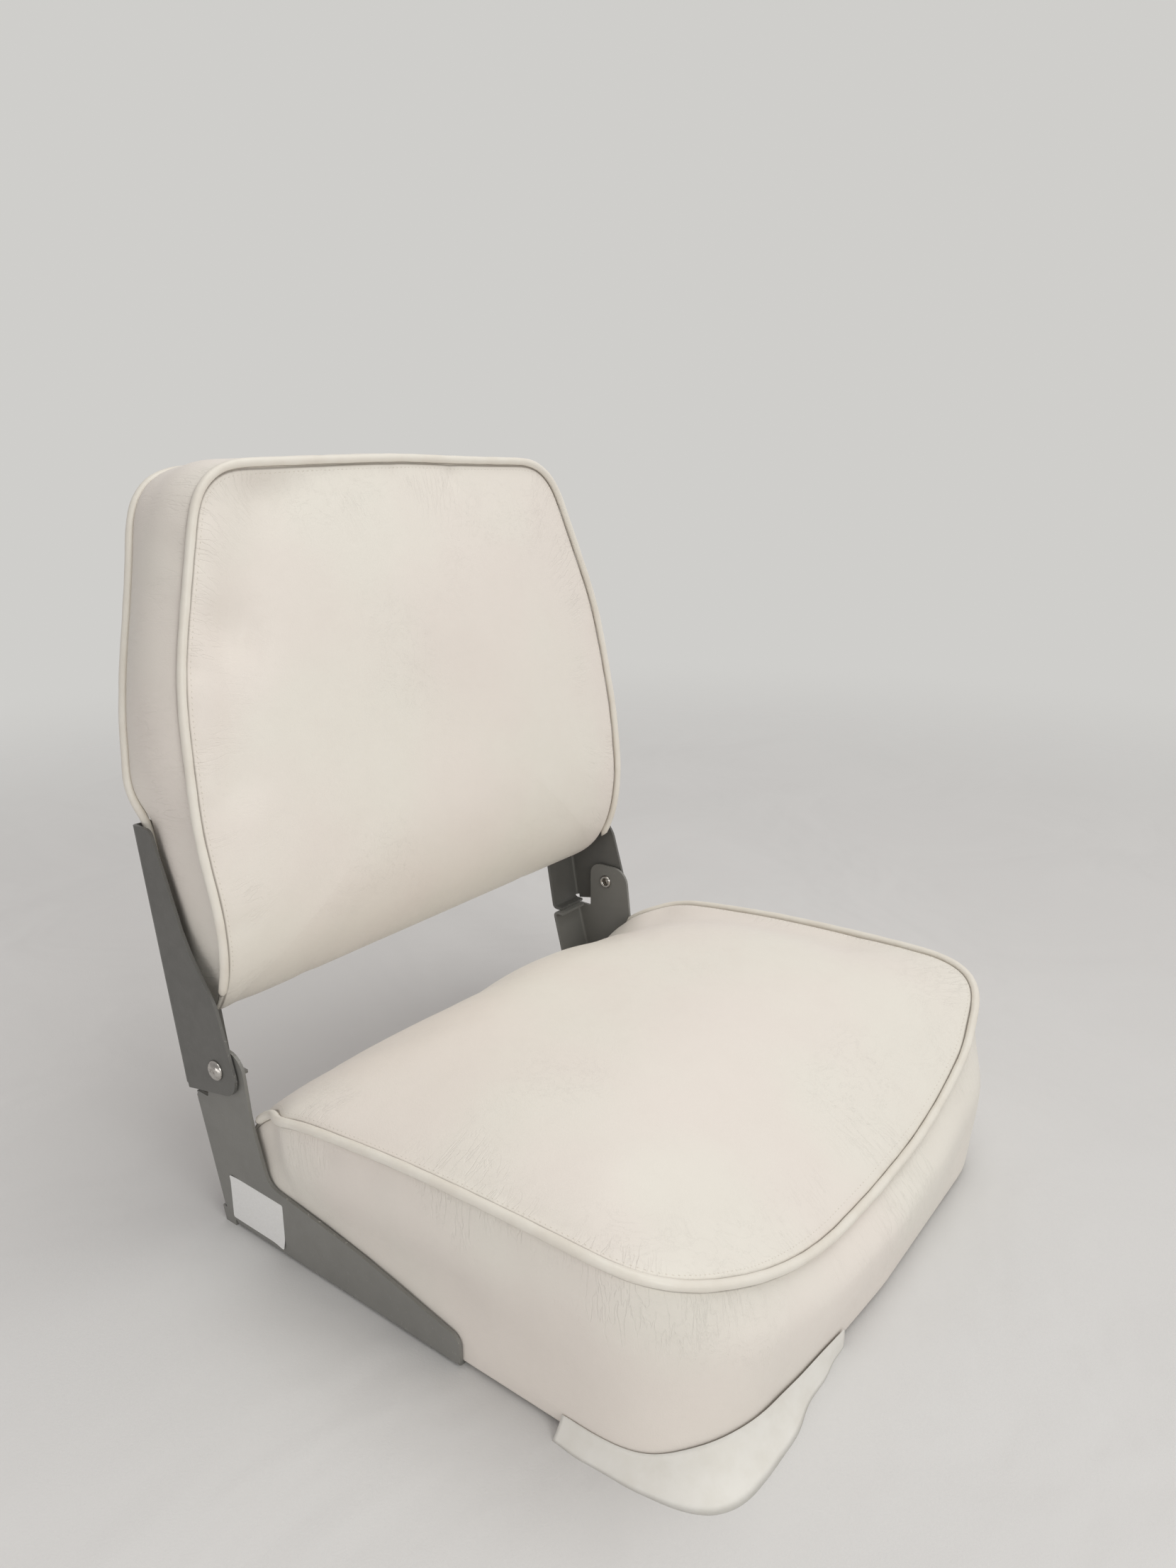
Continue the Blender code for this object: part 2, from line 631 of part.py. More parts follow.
class Cushion:
    """A box cushion on a plan outline, in its own (a, b, h): b runs to the rolled edge, h is its depth.

    Each station of the outline carries a profile: up the side to the seam, then over the crowned
    panel to the middle. The seam sinks to the base along the rolled edge.
    """

    def __init__(self, corners, seam, roll, bulge, crown, crown_b, place, base=0.0, edge=None):
        self.plan = divided(rounded(corners, CUSHION_ARC_STEP))
        self.normals = outward_normals(self.plan)
        self.roll_from, self.roll_length = roll
        self.base = base
        self.bulge = bulge
        self.crown = crown
        self.middle = Vector((0, crown_b))
        self.place = place
        self.full = [seam(point, normal) for point, normal in zip(self.plan, self.normals)]
        self.holds = [self.hold(point.y) for point in self.plan]
        self.seams = [mix(base, full, hold) for full, hold in zip(self.full, self.holds)]
        turns = [edge(normal) if edge else 0.0 for normal in self.normals]
        self.edges = [min(turn, seam - base) for turn, seam in zip(turns, self.seams)]
        self.heart = place(self.middle, (base + crown) / 2)
        self.oval = [max(abs(point[k] - self.middle[k]) for point in self.plan) - ROW_FAR for k in (0, 1)]

    def hold(self, b):
        """Share of its full height that the cushion keeps at b, down to 0 at the rolled edge."""
        way = min(max((b - self.roll_from) / self.roll_length, 0.0), 1.0)
        return (1 - way ** ROLL_POWER) ** (1 / ROLL_POWER)

    def side(self, i, share, inset=0.0):
        """Point on the side of station i, at a share of the way up to the seam."""
        height = mix(self.base + self.edges[i], self.seams[i], share)
        out = self.bulge(self.plan[i], self.normals[i], share) * self.holds[i] - inset
        return self.plan[i] + self.normals[i] * out, height

    def panel(self, i, inset=0.0):
        """Points over the crowned panel of station i, from the seam towards the middle."""
        edge, seam = self.side(i, 1.0)
        normal = self.normals[i]
        length = (edge - self.middle).length
        arm = edge - normal * ROW_FAR - self.middle
        oval = 1 / math.hypot(*(part / reach for part, reach in zip(arm.normalized(), self.oval)))
        rows = [(edge, 0.0), (edge - normal * ROW_NEAR, ROW_NEAR / length)]
        for share in (0.0, *PANEL_SHARES):
            ring = mix(arm.length, oval, smooth(share / OVAL_SHARE)) * (1 - share)
            rows.append((self.middle + arm.normalized() * ring, mix(ROW_FAR / length, 1.0, share)))
        points = []
        for plan, way in rows:
            crowned = mix(self.full[i], self.crown, 1 - (1 - way) ** CROWN_POWER)
            height = mix(self.base, crowned, self.hold(plan.y))
            points.append((plan - normal * inset, height - inset))
        return points

    def station(self, i, inset, bottom):
        """Profile of station i inside the cover, from a level bottom over the panel."""
        line = [self.side(i, share, inset) for share in (0.0, *SIDE_LEVEL_SHARES)]
        line += self.panel(i, inset)
        first = next(k for k, (_, height) in enumerate(line) if height > bottom + FIT)
        plan_low, low = line[max(first - 1, 0)]
        plan_high, high = line[first]
        cut = min(max((bottom - low) / max(high - low, FIT), 0.0), 1.0)
        foot = (plan_low.lerp(plan_high, cut), bottom)
        return [foot] * max(first, 1) + line[max(first, 1):]

    def band_stations(self):
        """Stations that have a side, in order from one end of the rolled edge to the other."""
        count = len(self.plan)
        tall = [seam - self.base > 4 * VINYL for seam in self.seams]
        start = next(i for i in range(count) if tall[i] and not tall[i - 1])
        run = [(start + k) % count for k in range(count)]
        return [i for i in run if tall[i]]


def outward_normals(plan):
    area = sum(p.cross(q) for p, q in zip(plan, plan[1:] + plan[:1]))
    turn = math.copysign(1, area)
    normals = []
    for i in range(len(plan)):
        chord = plan[(i + 1) % len(plan)] - plan[i - 1]
        normals.append(Vector((chord.y, -chord.x)).normalized() * turn)
    return normals


def foam(name, cushion, bottom, finish, parent=None):
    inset = VINYL + FOAM_FIT
    lines = [cushion.station(i, inset, bottom) for i in range(len(cushion.plan))]
    rings = [[cushion.place(*line[k]) for line in lines] for k in range(len(lines[0]))]
    low = cushion.place(cushion.middle, bottom)
    top = cushion.place(cushion.middle, cushion.crown - inset)
    return loft(name, rings, finish, parent, low, top, cushion.heart)


def panel(name, cushion, finish, parent=None):
    """Crowned cover panel, its rim just above the seam."""
    lines = []
    for i in range(len(cushion.plan)):
        outer = cushion.panel(i)
        inner = cushion.panel(i, VINYL)
        rim = outer[0][1] + FIT / 2
        outer[0] = (outer[0][0], rim)
        inner[0] = (inner[0][0], rim)
        lines.append(inner[::-1] + outer)
    rings = [[cushion.place(*line[k]) for line in lines] for k in range(len(lines[0]))]
    low = cushion.place(cushion.middle, cushion.crown - VINYL)
    top = cushion.place(cushion.middle, cushion.crown)
    return loft(name, rings, finish, parent, low, top, cushion.heart)


def band(name, cushion, finish, parent=None, lap=0.0):
    """Boxing strip up the side of each station that has one, turned in below as a lap."""
    sections = []
    for i in cushion.band_stations():
        outer = [cushion.side(i, share) for share in (0.0, *SIDE_LEVEL_SHARES, 1.0)]
        inner = [cushion.side(i, share, VINYL) for share in (0.0, *SIDE_LEVEL_SHARES, 1.0)]
        rim = outer[-1][1] - FIT / 2
        outer[-1] = (outer[-1][0], rim)
        inner[-1] = (inner[-1][0], rim)
        if lap:
            low = cushion.base
            end = cushion.plan[i] - cushion.normals[i] * lap
            turn = cushion.plan[i] - cushion.normals[i] * cushion.edges[i]
            outer = [(end, low), (turn, low)] + outer
            inner = [(end, low + VINYL), (turn, low + VINYL)] + inner
        sections.append([cushion.place(*point) for point in outer + inner[::-1]])
    return loft(name, sections, finish, parent, middle=cushion.heart)


def welt(name, cushion, share, facing, end, finish, parent=None):
    """Piping on the corner at one edge of the boxing, facing up or down from it."""
    stations = [i for i in cushion.band_stations() if cushion.holds[i] > end]
    origin = cushion.place(Vector((0, 0)), 0)
    corner = [cushion.place(*cushion.side(i, share)) for i in stations]
    sections = []
    for k, i in enumerate(stations):
        tangent = corner[min(k + 1, len(corner) - 1)] - corner[max(k - 1, 0)]
        tangent.normalize()
        out = cushion.place(cushion.normals[i], facing) - origin
        out = (out - tangent * out.dot(tangent)).normalized()
        across = tangent.cross(out)
        centre = corner[k] + out * (WELT_RADIUS + FIT)
        ring = circle(0, 0, WELT_RADIUS, WELT_SIDES)
        sections.append([centre + out * point.x + across * point.y for point in ring])
    return loft(name, sections, finish, parent)


# Seat

def seat_cushion():
    half = SEAT_HALF_WIDTH
    corners = [
        (half, SEAT_REAR_Y, SEAT_REAR_ROUND), (half, SEAT_FRONT_Y, SEAT_FRONT_ROUND),
        (0, SEAT_FRONT_Y - SEAT_FRONT_BOW, SEAT_FRONT_ROUND),
        (-half, SEAT_FRONT_Y, SEAT_FRONT_ROUND), (-half, SEAT_REAR_Y, SEAT_REAR_ROUND),
    ]
    roll_from = SEAT_REAR_Y - SEAT_ROLL

    def seam(point, normal):
        fall = SEAT_SEAM_FALL * (point.y - roll_from + SEAT_SEAM_FALL_Y) / SEAT_SEAM_FALL_Y
        along_side = SEAT_SEAM_Z - min(max(fall, 0.0), SEAT_SEAM_FALL)
        climb = min(max(1 - (half - abs(point.x)) / SEAT_SEAM_CLIMB, 0.0), 1.0)
        return mix(SEAT_SEAM_FRONT_Z, along_side, climb ** 2) if point.y < 0 else along_side

    def bulge(point, normal, share):
        levels = (0.0, *SIDE_LEVEL_SHARES, 1.0)
        level = levels.index(share)
        side_shares = (0.0, *SIDE_BULGE_SHARES, SEAM_SIDE_SHARE)
        front_shares = (0.0, *FRONT_BULGE_SHARES, SEAM_FRONT_SHARE)
        free = 1 - smooth((point.y - SEAT_TUCK_FROM) / SEAT_TUCK_REACH)
        side_out = SEAT_SIDE_BULGE * free - SEAT_TUCK * (1 - free)
        front_out = SEAT_FRONT_BULGE * front_shares[level]
        return mix(side_out * side_shares[level], front_out, smooth(-normal.y))

    return Cushion(corners, seam, (roll_from, SEAT_ROLL), bulge, SEAT_CROWN_Z, SEAT_CROWN_Y,
                   seat_place, COVER_BOTTOM, seat_edge)


def seat_place(plan, height):
    return Vector((plan.x, plan.y, height))


def seat_edge(normal):
    """Roundness of the bottom edge where the outline faces along normal."""
    return mix(SEAT_EDGE, SEAT_EDGE_FRONT, smooth(-normal.y))


def seat_pan(cushion, finish):
    """Moulded tray: deck, wall, rib lattice, four bosses with stepped bores and a centre pad."""
    inset = VINYL + 2 * FIT
    edge = []
    chamfers = []
    for i, (point, normal) in enumerate(zip(cushion.plan, cushion.normals)):
        foot = cushion.station(i, inset, PAN_TOP)[0][0]
        drawn_in = max((point - foot).dot(normal), inset)
        edge.append(point - normal * drawn_in)
        chamfers.append(point - normal * (drawn_in + seat_edge(normal)))
    rises = [PAN_BOTTOM + seat_edge(normal) for normal in cushion.normals]
    top = at_level(edge, PAN_TOP)
    waist = [Vector((*point, rise)) for point, rise in zip(edge, rises)]
    bottom = at_level(chamfers, PAN_BOTTOM)
    inner = [point - normal * PAN_WALL for point, normal in zip(chamfers, cushion.normals)]

    bm = bmesh.new()
    bores = []
    for x, y in bolt_places():
        hole = TEE_BARREL_RADIUS + FIT
        step = PAN_TOP - TEE_FLANGE_THICKNESS - 2 * FIT
        seat = circle(x, y, TEE_FLANGE_RADIUS + FIT, TEE_SIDES)
        bore = circle(x, y, hole, TEE_SIDES)
        bores.append(seat)
        wall(bm, at_level(seat, PAN_TOP), at_level(seat, step))
        flat_patch(bm, at_level(seat, step), [at_level(bore, step)])
        wall(bm, at_level(bore, step), at_level(bore, 0))
        pad = circle(x, y, PAN_PAD_RADIUS, ROUND_SIDES)
        wall(bm, at_level(pad, PAN_BOTTOM), at_level(pad, 0))
        flat_patch(bm, at_level(pad, 0), [at_level(bore, 0)])
    pads = [circle(x, y, PAN_PAD_RADIUS, ROUND_SIDES) for x, y in (*bolt_places(), (0, 0))]
    wall(bm, at_level(pads[-1], PAN_BOTTOM), at_level(pads[-1], 0))
    flat_patch(bm, at_level(pads[-1], 0))
    flat_patch(bm, top, [at_level(seat, PAN_TOP) for seat in bores])
    wall(bm, top, waist)
    wall(bm, waist, bottom)

    openings = list(pads)
    for cell in pan_cells(inner):
        openings.append(cell)
        wall(bm, at_level(cell, PAN_BOTTOM), at_level(cell, PAN_TOP - PAN_DECK))
        flat_patch(bm, at_level(cell, PAN_TOP - PAN_DECK))
    depth = PAN_BOTTOM + SCREW_LENGTH + SHEET + FIT
    for _, side in SIDES:
        for y in LOWER_SCREWS_Y:
            pilot = circle(bottom_screw_x(side), y, SCREW_RADIUS + FIT, SCREW_SIDES)
            openings.append(pilot)
            wall(bm, at_level(pilot, PAN_BOTTOM), at_level(pilot, depth))
            flat_patch(bm, at_level(pilot, depth))
    flat_patch(bm, bottom, [at_level(opening, PAN_BOTTOM) for opening in openings])
    finish_object("seat_pan", bm, finish)


def pan_cells(inner):
    """Pockets of the rib lattice, cut by the tray's wall and by the bosses, the middle one left solid."""
    pitch = BOLT_SPACING / 3
    cells_out = bottom_screw_x(1) - PAN_SCREW_LAND
    reach = math.ceil(cells_out / pitch) + 1
    half = (pitch - PAN_RIB) / 2
    for column in range(-reach, reach + 1):
        for row in range(-reach, reach + 1):
            x = column * pitch
            y = row * pitch
            if (column, row) == (0, 0) or abs(x) + half > cells_out:
                continue
            cell = [Vector(corner) for corner in (
                (x - half, y - half), (x + half, y - half), (x + half, y + half), (x - half, y + half))]
            cell = clipped(cell, inner)
            cell = scooped(cell, column, row)
            if len(cell) > 2 and spread(cell) > 3 * PAN_RIB:
                yield cell


def spread(cell):
    """Shorter side of the box round a cell."""
    width = max(p.x for p in cell) - min(p.x for p in cell)
    depth = max(p.y for p in cell) - min(p.y for p in cell)
    return min(width, depth)


def clipped(cell, fence):
    """The part of a convex cell inside a convex fence."""
    area = sum(p.cross(q) for p, q in zip(fence, fence[1:] + fence[:1]))
    fence = fence if area > 0 else fence[::-1]
    for start, end in zip(fence, fence[1:] + fence[:1]):
        edge = end - start
        kept = []
        for here, there in zip(cell, cell[1:] + cell[:1]):
            side_here = edge.cross(here - start)
            side_there = edge.cross(there - start)
            if side_here >= 0:
                kept.append(here)
            if side_here * side_there < 0:
                kept.append(here.lerp(there, side_here / (side_here - side_there)))
        cell = kept
        if not cell:
            return []
    tidy = [p for p, q in zip(cell, cell[1:] + cell[:1]) if (p - q).length > CUT]
    return tidy


def scooped(cell, column, row):
    """The cell with its corner at a boss cut back to the boss's round wall."""
    if abs(column) not in (1, 2) or abs(row) not in (1, 2):
        return cell
    boss = Vector((math.copysign(BOLT_SPACING / 2, column), math.copysign(BOLT_SPACING / 2, row)))
    if min((point - boss).length for point in cell) > PAN_BOSS_RADIUS:
        return cell
    corner = min(range(len(cell)), key=lambda k: (cell[k] - boss).length)
    back = math.sqrt(PAN_BOSS_RADIUS ** 2 - (PAN_RIB / 2) ** 2) - PAN_RIB / 2
    before = (cell[corner - 1] - cell[corner]).normalized()
    after = (cell[(corner + 1) % len(cell)] - cell[corner]).normalized()
    first = cell[corner] + before * back - boss
    last = cell[corner] + after * back - boss
    return cell[:corner] + arc(boss, first, last) + cell[corner + 1:]


def seat_hem(cushion, finish):
    """Loose strip of cover edge at one front corner, creased at the corner and standing on the ground."""
    run = [point for point in cushion.plan if point.x < HEM_END_X and point.y < HEM_START_Y]
    run.sort(key=lambda point: math.atan2(point.x, -point.y))
    run.insert(0, Vector((run[0].x, HEM_START_Y)))
    path = evenly(run, HEM_STEP)
    level = SIDE_LEVEL_SHARES[0]
    sections = []
    for k, point in enumerate(path):
        chord = path[min(k + 1, len(path) - 1)] - path[max(k - 1, 0)]
        normal = Vector((chord.y, -chord.x)).normalized()
        way = k / (len(path) - 1)
        rise = between(HEM_RISES, way)
        full = level * (SEAT_SEAM_FRONT_Z - cushion.base)
        head = point + normal * (2 * FIT + cushion.bulge(point, normal, level) * rise / full)
        foot = point + normal * (2 * FIT + between(HEM_SPREADS, way))
        step = normal * HEM_THICKNESS
        sections.append([seat_place(foot, 0), seat_place(foot + step, 0),
                         seat_place(head + step, rise), seat_place(head, rise)])
    return loft("cover_hem_strip", sections, finish)


def evenly(points, step):
    """Points at even steps along an open path, both ends included."""
    lengths = [(q - p).length for p, q in zip(points, points[1:])]
    count = math.ceil(sum(lengths) / step)
    spaced = []
    for k in range(count + 1):
        left = sum(lengths) * k / count
        for p, q, length in zip(points, points[1:], lengths):
            if left <= length:
                break
            left -= length
        spaced.append(p.lerp(q, min(left / length, 1.0)))
    return spaced


def between(values, way):
    """Value at a way of 0 to 1 along a list of evenly spaced values."""
    slot = way * (len(values) - 1)
    low = min(int(slot), len(values) - 2)
    return mix(values[low], values[low + 1], slot - low)


def build_seat(finishes):
    cushion = seat_cushion()
    seat_pan(cushion, finishes["plastic"])
    foam("seat_foam", cushion, PAN_TOP + FIT, finishes["foam"])
    panel("seat_top_panel", cushion, finishes["vinyl"])
    band("seat_boxing", cushion, finishes["vinyl"], lap=SEAT_LAP)
    welt("seat_welt", cushion, 1.0, 1, SEAT_WELT_END_SHARE, finishes["piping"])
    seat_hem(cushion, finishes["hem"])
    tee_nuts(finishes["zinc"])
    flat_head_screws(finishes["zinc"])
    for side_name, side in SIDES:
        lower_bracket(side_name, side, finishes["paint"])
        hinge_rivet(side_name, side, finishes["steel"])
        hinge_washer(side_name, side, finishes["nylon"])


# Back

def back_cushion():
    half = SEAT_WIDTH / 2
    right_side = [
        (half - BACK_FOOT_IN, -BACK_BOTTOM, BACK_FOOT_ROUND),
        (half - BACK_WIDEST_IN, -BACK_WIDEST, BACK_SIDE_ROUND),
        (half - BACK_BEND_IN, -BACK_BEND, BACK_SIDE_ROUND),
        (half - BACK_SHOULDER_IN, -BACK_TOP, BACK_SHOULDER_ROUND),
    ]
    left_side = [(-a, b, radius) for a, b, radius in reversed(right_side)]
    corners = [*right_side, (0, -BACK_TOP - BACK_BOW, BACK_TOP_ROUND), *left_side]

    def seam(point, normal):
        return BACK_DEPTH

    def bulge(point, normal, share):
        free = smooth((-point.y - BACK_BULGE_FROM) / BACK_BULGE_REACH)
        belly = BACK_BULGE * free * 4 * share * (1 - share)
        inset = BACK_EDGE_INSET * (1 - smooth((-point.y - BACK_INSET_TO) / BACK_INSET_FADE))
        return belly - inset * (1 - smooth(share / SIDE_LEVEL_SHARES[0]))

    return Cushion(corners, seam, (-BACK_BOTTOM - BACK_ROLL, BACK_ROLL), bulge,
                   BACK_DEPTH + BACK_CROWN, -(BACK_BOTTOM + BACK_TOP) / 2, back_place)


def back_place(plan, height):
    """From the cushion's own frame to the back's: rear seam plane behind the hinge, heights up."""
    return Vector((plan.x, BACK_REAR - height, -plan.y))


def back_rake():
    return Matrix.Rotation(-BACK_RAKE, 4, "X")


def screw_holes(hinge, radius):
    """Rings for the bracket screws in the back's own plan."""
    to_back = back_rake().inverted() @ Matrix.Translation(-hinge.location)
    rings = []
    for _, side in SIDES:
        for place in upper_screw_places(side):
            middle = to_back @ place @ Vector((0, 0, SHEET + BOARD_THICKNESS / 2))
            rings.append(circle(middle.x, -middle.z, radius, SCREW_SIDES))
    return rings


def back_board(cushion, finish, hinge):
    """Moulded panel behind the foam, with pilot holes for the bracket screws."""
    low = VINYL + FIT - BACK_REAR_CROWN
    high = low + BOARD_THICKNESS
    outline = []
    for i, (point, normal) in enumerate(zip(cushion.plan, cushion.normals)):
        foot = cushion.station(i, VINYL + FIT, high)[0][0]
        drawn_in = max((point - foot).dot(normal), BACK_EDGE_INSET + BACK_REAR_ROLL)
        outline.append(point - normal * (drawn_in + VINYL + FIT))
    holes = screw_holes(hinge, SCREW_RADIUS + 2 * FIT)
    bm = bmesh.new()
    for level in (low, high):
        flat_patch(bm, [back_place(p, level) for p in outline],
                   [[back_place(p, level) for p in hole] for hole in holes])
    for loop in (outline, *holes):
        wall(bm, [back_place(p, low) for p in loop], [back_place(p, high) for p in loop])
    return finish_object("back_board", bm, finish, hinge)


def rear_panel(cushion, finish, hinge):
    """Cover panel drawn over the board: a sloping rim from the rear seam to a flat field."""
    def ring(inset, level):
        return [back_place(p - n * inset, level) for p, n in zip(cushion.plan, cushion.normals)]

    rim = BACK_EDGE_INSET + FIT
    field = rim + BACK_REAR_ROLL
    outer = [ring(rim, -FIT), ring(field, -BACK_REAR_CROWN)]
    inner = [ring(rim + VINYL, -FIT), ring(field + VINYL / 2, VINYL - BACK_REAR_CROWN)]
    holes = screw_holes(hinge, SCREW_RADIUS + 2 * FIT)
    bm = bmesh.new()
    wall(bm, outer[0], inner[0])
    for (low, high), level in ((outer, -BACK_REAR_CROWN), (inner, VINYL - BACK_REAR_CROWN)):
        wall(bm, low, high)
        flat_patch(bm, high, [[back_place(p, level) for p in hole] for hole in holes])
    for hole in holes:
        wall(bm, [back_place(p, -BACK_REAR_CROWN) for p in hole],
             [back_place(p, VINYL - BACK_REAR_CROWN) for p in hole])
    return finish_object("back_rear_panel", bm, finish, hinge)


def build_back(finishes, hinge):
    cushion = back_cushion()
    foam_low = VINYL + 2 * FIT - BACK_REAR_CROWN + BOARD_THICKNESS
    end = BACK_WELT_END_SHARE
    raked = [
        back_board(cushion, finishes["plastic"], hinge),
        foam("back_foam", cushion, foam_low, finishes["foam"], hinge),
        panel("back_front_panel", cushion, finishes["vinyl"], hinge),
        band("back_boxing", cushion, finishes["vinyl"], hinge),
        rear_panel(cushion, finishes["vinyl"], hinge),
        welt("back_front_welt", cushion, 1.0, 1, end, finishes["piping"], hinge),
        welt("back_rear_welt", cushion, 0.0, -REAR_WELT_SHARE, end, finishes["piping"], hinge),
    ]
    for piece in raked:
        piece.rotation_euler = (-BACK_RAKE, 0, 0)
    for side_name, side in SIDES:
        upper_bracket(side_name, side, finishes["paint"], hinge)
    pan_head_screws(finishes["zinc"], hinge)


def build():
    for item in list(bpy.data.objects):
        bpy.data.objects.remove(item, do_unlink=True)
    finishes = {
        "vinyl": material("white_vinyl", (0.80, 0.76, 0.71), 0.45),
        "piping": material("piping_vinyl", (0.82, 0.81, 0.76), 0.40),
        "hem": material("hem_vinyl", (0.84, 0.84, 0.82), 0.45),
        "foam": material("seat_foam", (0.85, 0.80, 0.62), 0.95),
        "plastic": material("moulded_plastic", (0.03, 0.03, 0.03), 0.55),
        "paint": material("grey_paint", (0.13, 0.135, 0.125), 0.42),
        "steel": material("bright_steel", (0.62, 0.61, 0.59), 0.22, 1.0),
        "zinc": material("zinc_plate", (0.60, 0.61, 0.63), 0.35, 1.0),
        "nylon": material("nylon", (0.10, 0.10, 0.10), 0.50),
    }
    hinge = bpy.data.objects.new("back_hinge", None)
    hinge.location = (0, HINGE_Y, HINGE_Z)
    bpy.context.scene.collection.objects.link(hinge)
    build_seat(finishes)
    build_back(finishes, hinge)


build()
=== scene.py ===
"""Looks for the folding boat seat: piped vinyl box cushions on painted folded-steel hinge brackets.

Metres, in the part's own frame: +Z up, the sitter faces -Y, and -X is the near side in the photograph.
Each cushion is first drawn as the CAD source draws it, only finer, then blown up by the cloth solver
with its seams held, and the drawn skin is laid on what comes out. So the seams, the piping and the
stitches stay where they are sewn. Hollows, puckers and creases then follow the photograph.
"""
import json
import math

import bmesh
import bpy
import numpy as np
from mathutils import Matrix, Vector
from mathutils.bvhtree import BVHTree
from mathutils.kdtree import KDTree

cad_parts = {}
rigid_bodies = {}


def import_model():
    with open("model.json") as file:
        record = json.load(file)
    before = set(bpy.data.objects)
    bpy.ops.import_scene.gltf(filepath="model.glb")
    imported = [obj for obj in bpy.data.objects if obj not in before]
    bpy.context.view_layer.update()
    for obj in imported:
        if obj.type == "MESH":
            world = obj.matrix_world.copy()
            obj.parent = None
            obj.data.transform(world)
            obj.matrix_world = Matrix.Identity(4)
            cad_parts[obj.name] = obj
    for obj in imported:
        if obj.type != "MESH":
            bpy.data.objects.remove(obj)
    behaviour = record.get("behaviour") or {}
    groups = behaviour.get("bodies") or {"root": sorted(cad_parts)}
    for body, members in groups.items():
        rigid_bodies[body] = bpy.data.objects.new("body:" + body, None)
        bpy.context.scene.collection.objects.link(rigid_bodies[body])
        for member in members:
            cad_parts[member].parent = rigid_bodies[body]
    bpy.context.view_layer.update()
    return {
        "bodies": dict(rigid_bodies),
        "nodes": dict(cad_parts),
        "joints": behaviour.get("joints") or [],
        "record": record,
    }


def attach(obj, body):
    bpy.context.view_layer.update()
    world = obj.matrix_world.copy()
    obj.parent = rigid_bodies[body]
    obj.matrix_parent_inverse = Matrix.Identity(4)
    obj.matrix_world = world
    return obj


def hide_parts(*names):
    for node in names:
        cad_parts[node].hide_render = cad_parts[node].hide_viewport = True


# Sizes, most of them repeated from the CAD source
SEAT_WIDTH = 0.400
VINYL = 0.0012
WELT_RADIUS = 0.0027
SHEET = 0.0022
FIT = 0.0003
WASHER_THICKNESS = 0.0006
HINGE_Y = 0.165
HINGE_Z = 0.113
UPPER_LEAN = math.radians(9.8)
COVER_BOTTOM = SHEET + FIT
PAN_TOP = 0.026
LOWER_OUTER_X = SEAT_WIDTH / 2 - SHEET - WASHER_THICKNESS - 2 * FIT
LOWER_INNER_X = LOWER_OUTER_X - SHEET

SEAT_HALF_WIDTH = SEAT_WIDTH / 2 - 0.0062
SEAT_REAR_Y = 0.1712
SEAT_FRONT_Y = -0.1800
SEAT_FRONT_BOW = 0.0065
SEAT_REAR_ROUND = 0.030
SEAT_FRONT_ROUND = 0.062
SEAT_LAP = 0.014
SEAT_EDGE = 0.003
SEAT_EDGE_FRONT = 0.004
SEAM_SIDE_Y = (-0.120, -0.070, -0.020, 0.010, 0.040, 0.080, 0.100)
SEAM_SIDE_Z = (0.1222, 0.1212, 0.1190, 0.1170, 0.1138, 0.1088, 0.1050)
SEAM_FRONT_X = (0.0, 0.060, 0.100, 0.140, 0.170, 0.186, 0.1938)
SEAM_FRONT_DROP = (0.0588, 0.0560, 0.0455, 0.0295, 0.0176, 0.0048, 0.0)
SEAM_FRONT_IN = 0.0082
SEAM_MIDDLE_IN = 0.0030
SAG_FROM = 0.055
SAG_ASIDE = 0.038
SAG_NEAR_WAY = 0.45
SAG_FAR_WAY = 0.16
REAR_RISE = 3.0
SEAT_ROLL = 0.092
SEAT_SIDE_BULGE = 0.0095
SEAT_FRONT_BULGE = 0.0038
SEAT_TUCK = 0.0044
SEAT_TUCK_FROM = 0.097
SEAT_TUCK_REACH = 0.032
SEAT_CROWN_Z = 0.1320
SEAT_CROWN_Y = 0.0

HEM_THICKNESS = 0.0010
HEM_START_Y = -0.1000
HEM_END_X = -0.052
HEM_RISES = (0.0108, 0.0108, 0.0110, 0.0165, 0.0200, 0.0190, 0.0160, 0.0145, 0.0120)
HEM_SPREADS = (0.0068, 0.0080, 0.0125, 0.0247, 0.0172, 0.0120, 0.0072, 0.0036, 0.0010)

BACK_RAKE = math.radians(9.2)
BACK_REAR = 0.0322
BACK_DEPTH = 0.0576
BACK_BOTTOM = 0.0255
BACK_TOP = 0.3475
BACK_BOW = 0.0045
BACK_FOOT_IN = 0.0120
BACK_WIDEST_IN = 0.0032
BACK_WIDEST = 0.1500
BACK_BEND_IN = 0.0100
BACK_BEND = 0.2350
BACK_SHOULDER_IN = 0.0475
BACK_FOOT_ROUND = 0.012
BACK_SIDE_ROUND = 0.220
BACK_SHOULDER_ROUND = 0.036
BACK_TOP_ROUND = 0.400
BACK_BULGE = 0.0085
REAR_SEAM_UP = (0.152, 0.172, 0.200, 0.240, 0.290, 0.340)
REAR_SEAM_IN = (0.0055, -0.0026, -0.0022, 0.0000, -0.0006, -0.0045)
BACK_SKEW = 0.0048
BACK_BULGE_FROM = 0.148
BACK_BULGE_REACH = 0.045
BACK_ROLL = 0.090
BACK_CROWN = 0.0115
BACK_REAR_CROWN = 0.0048
BACK_REAR_ROLL = 0.0045
BACK_REAR_SINK = 0.0006

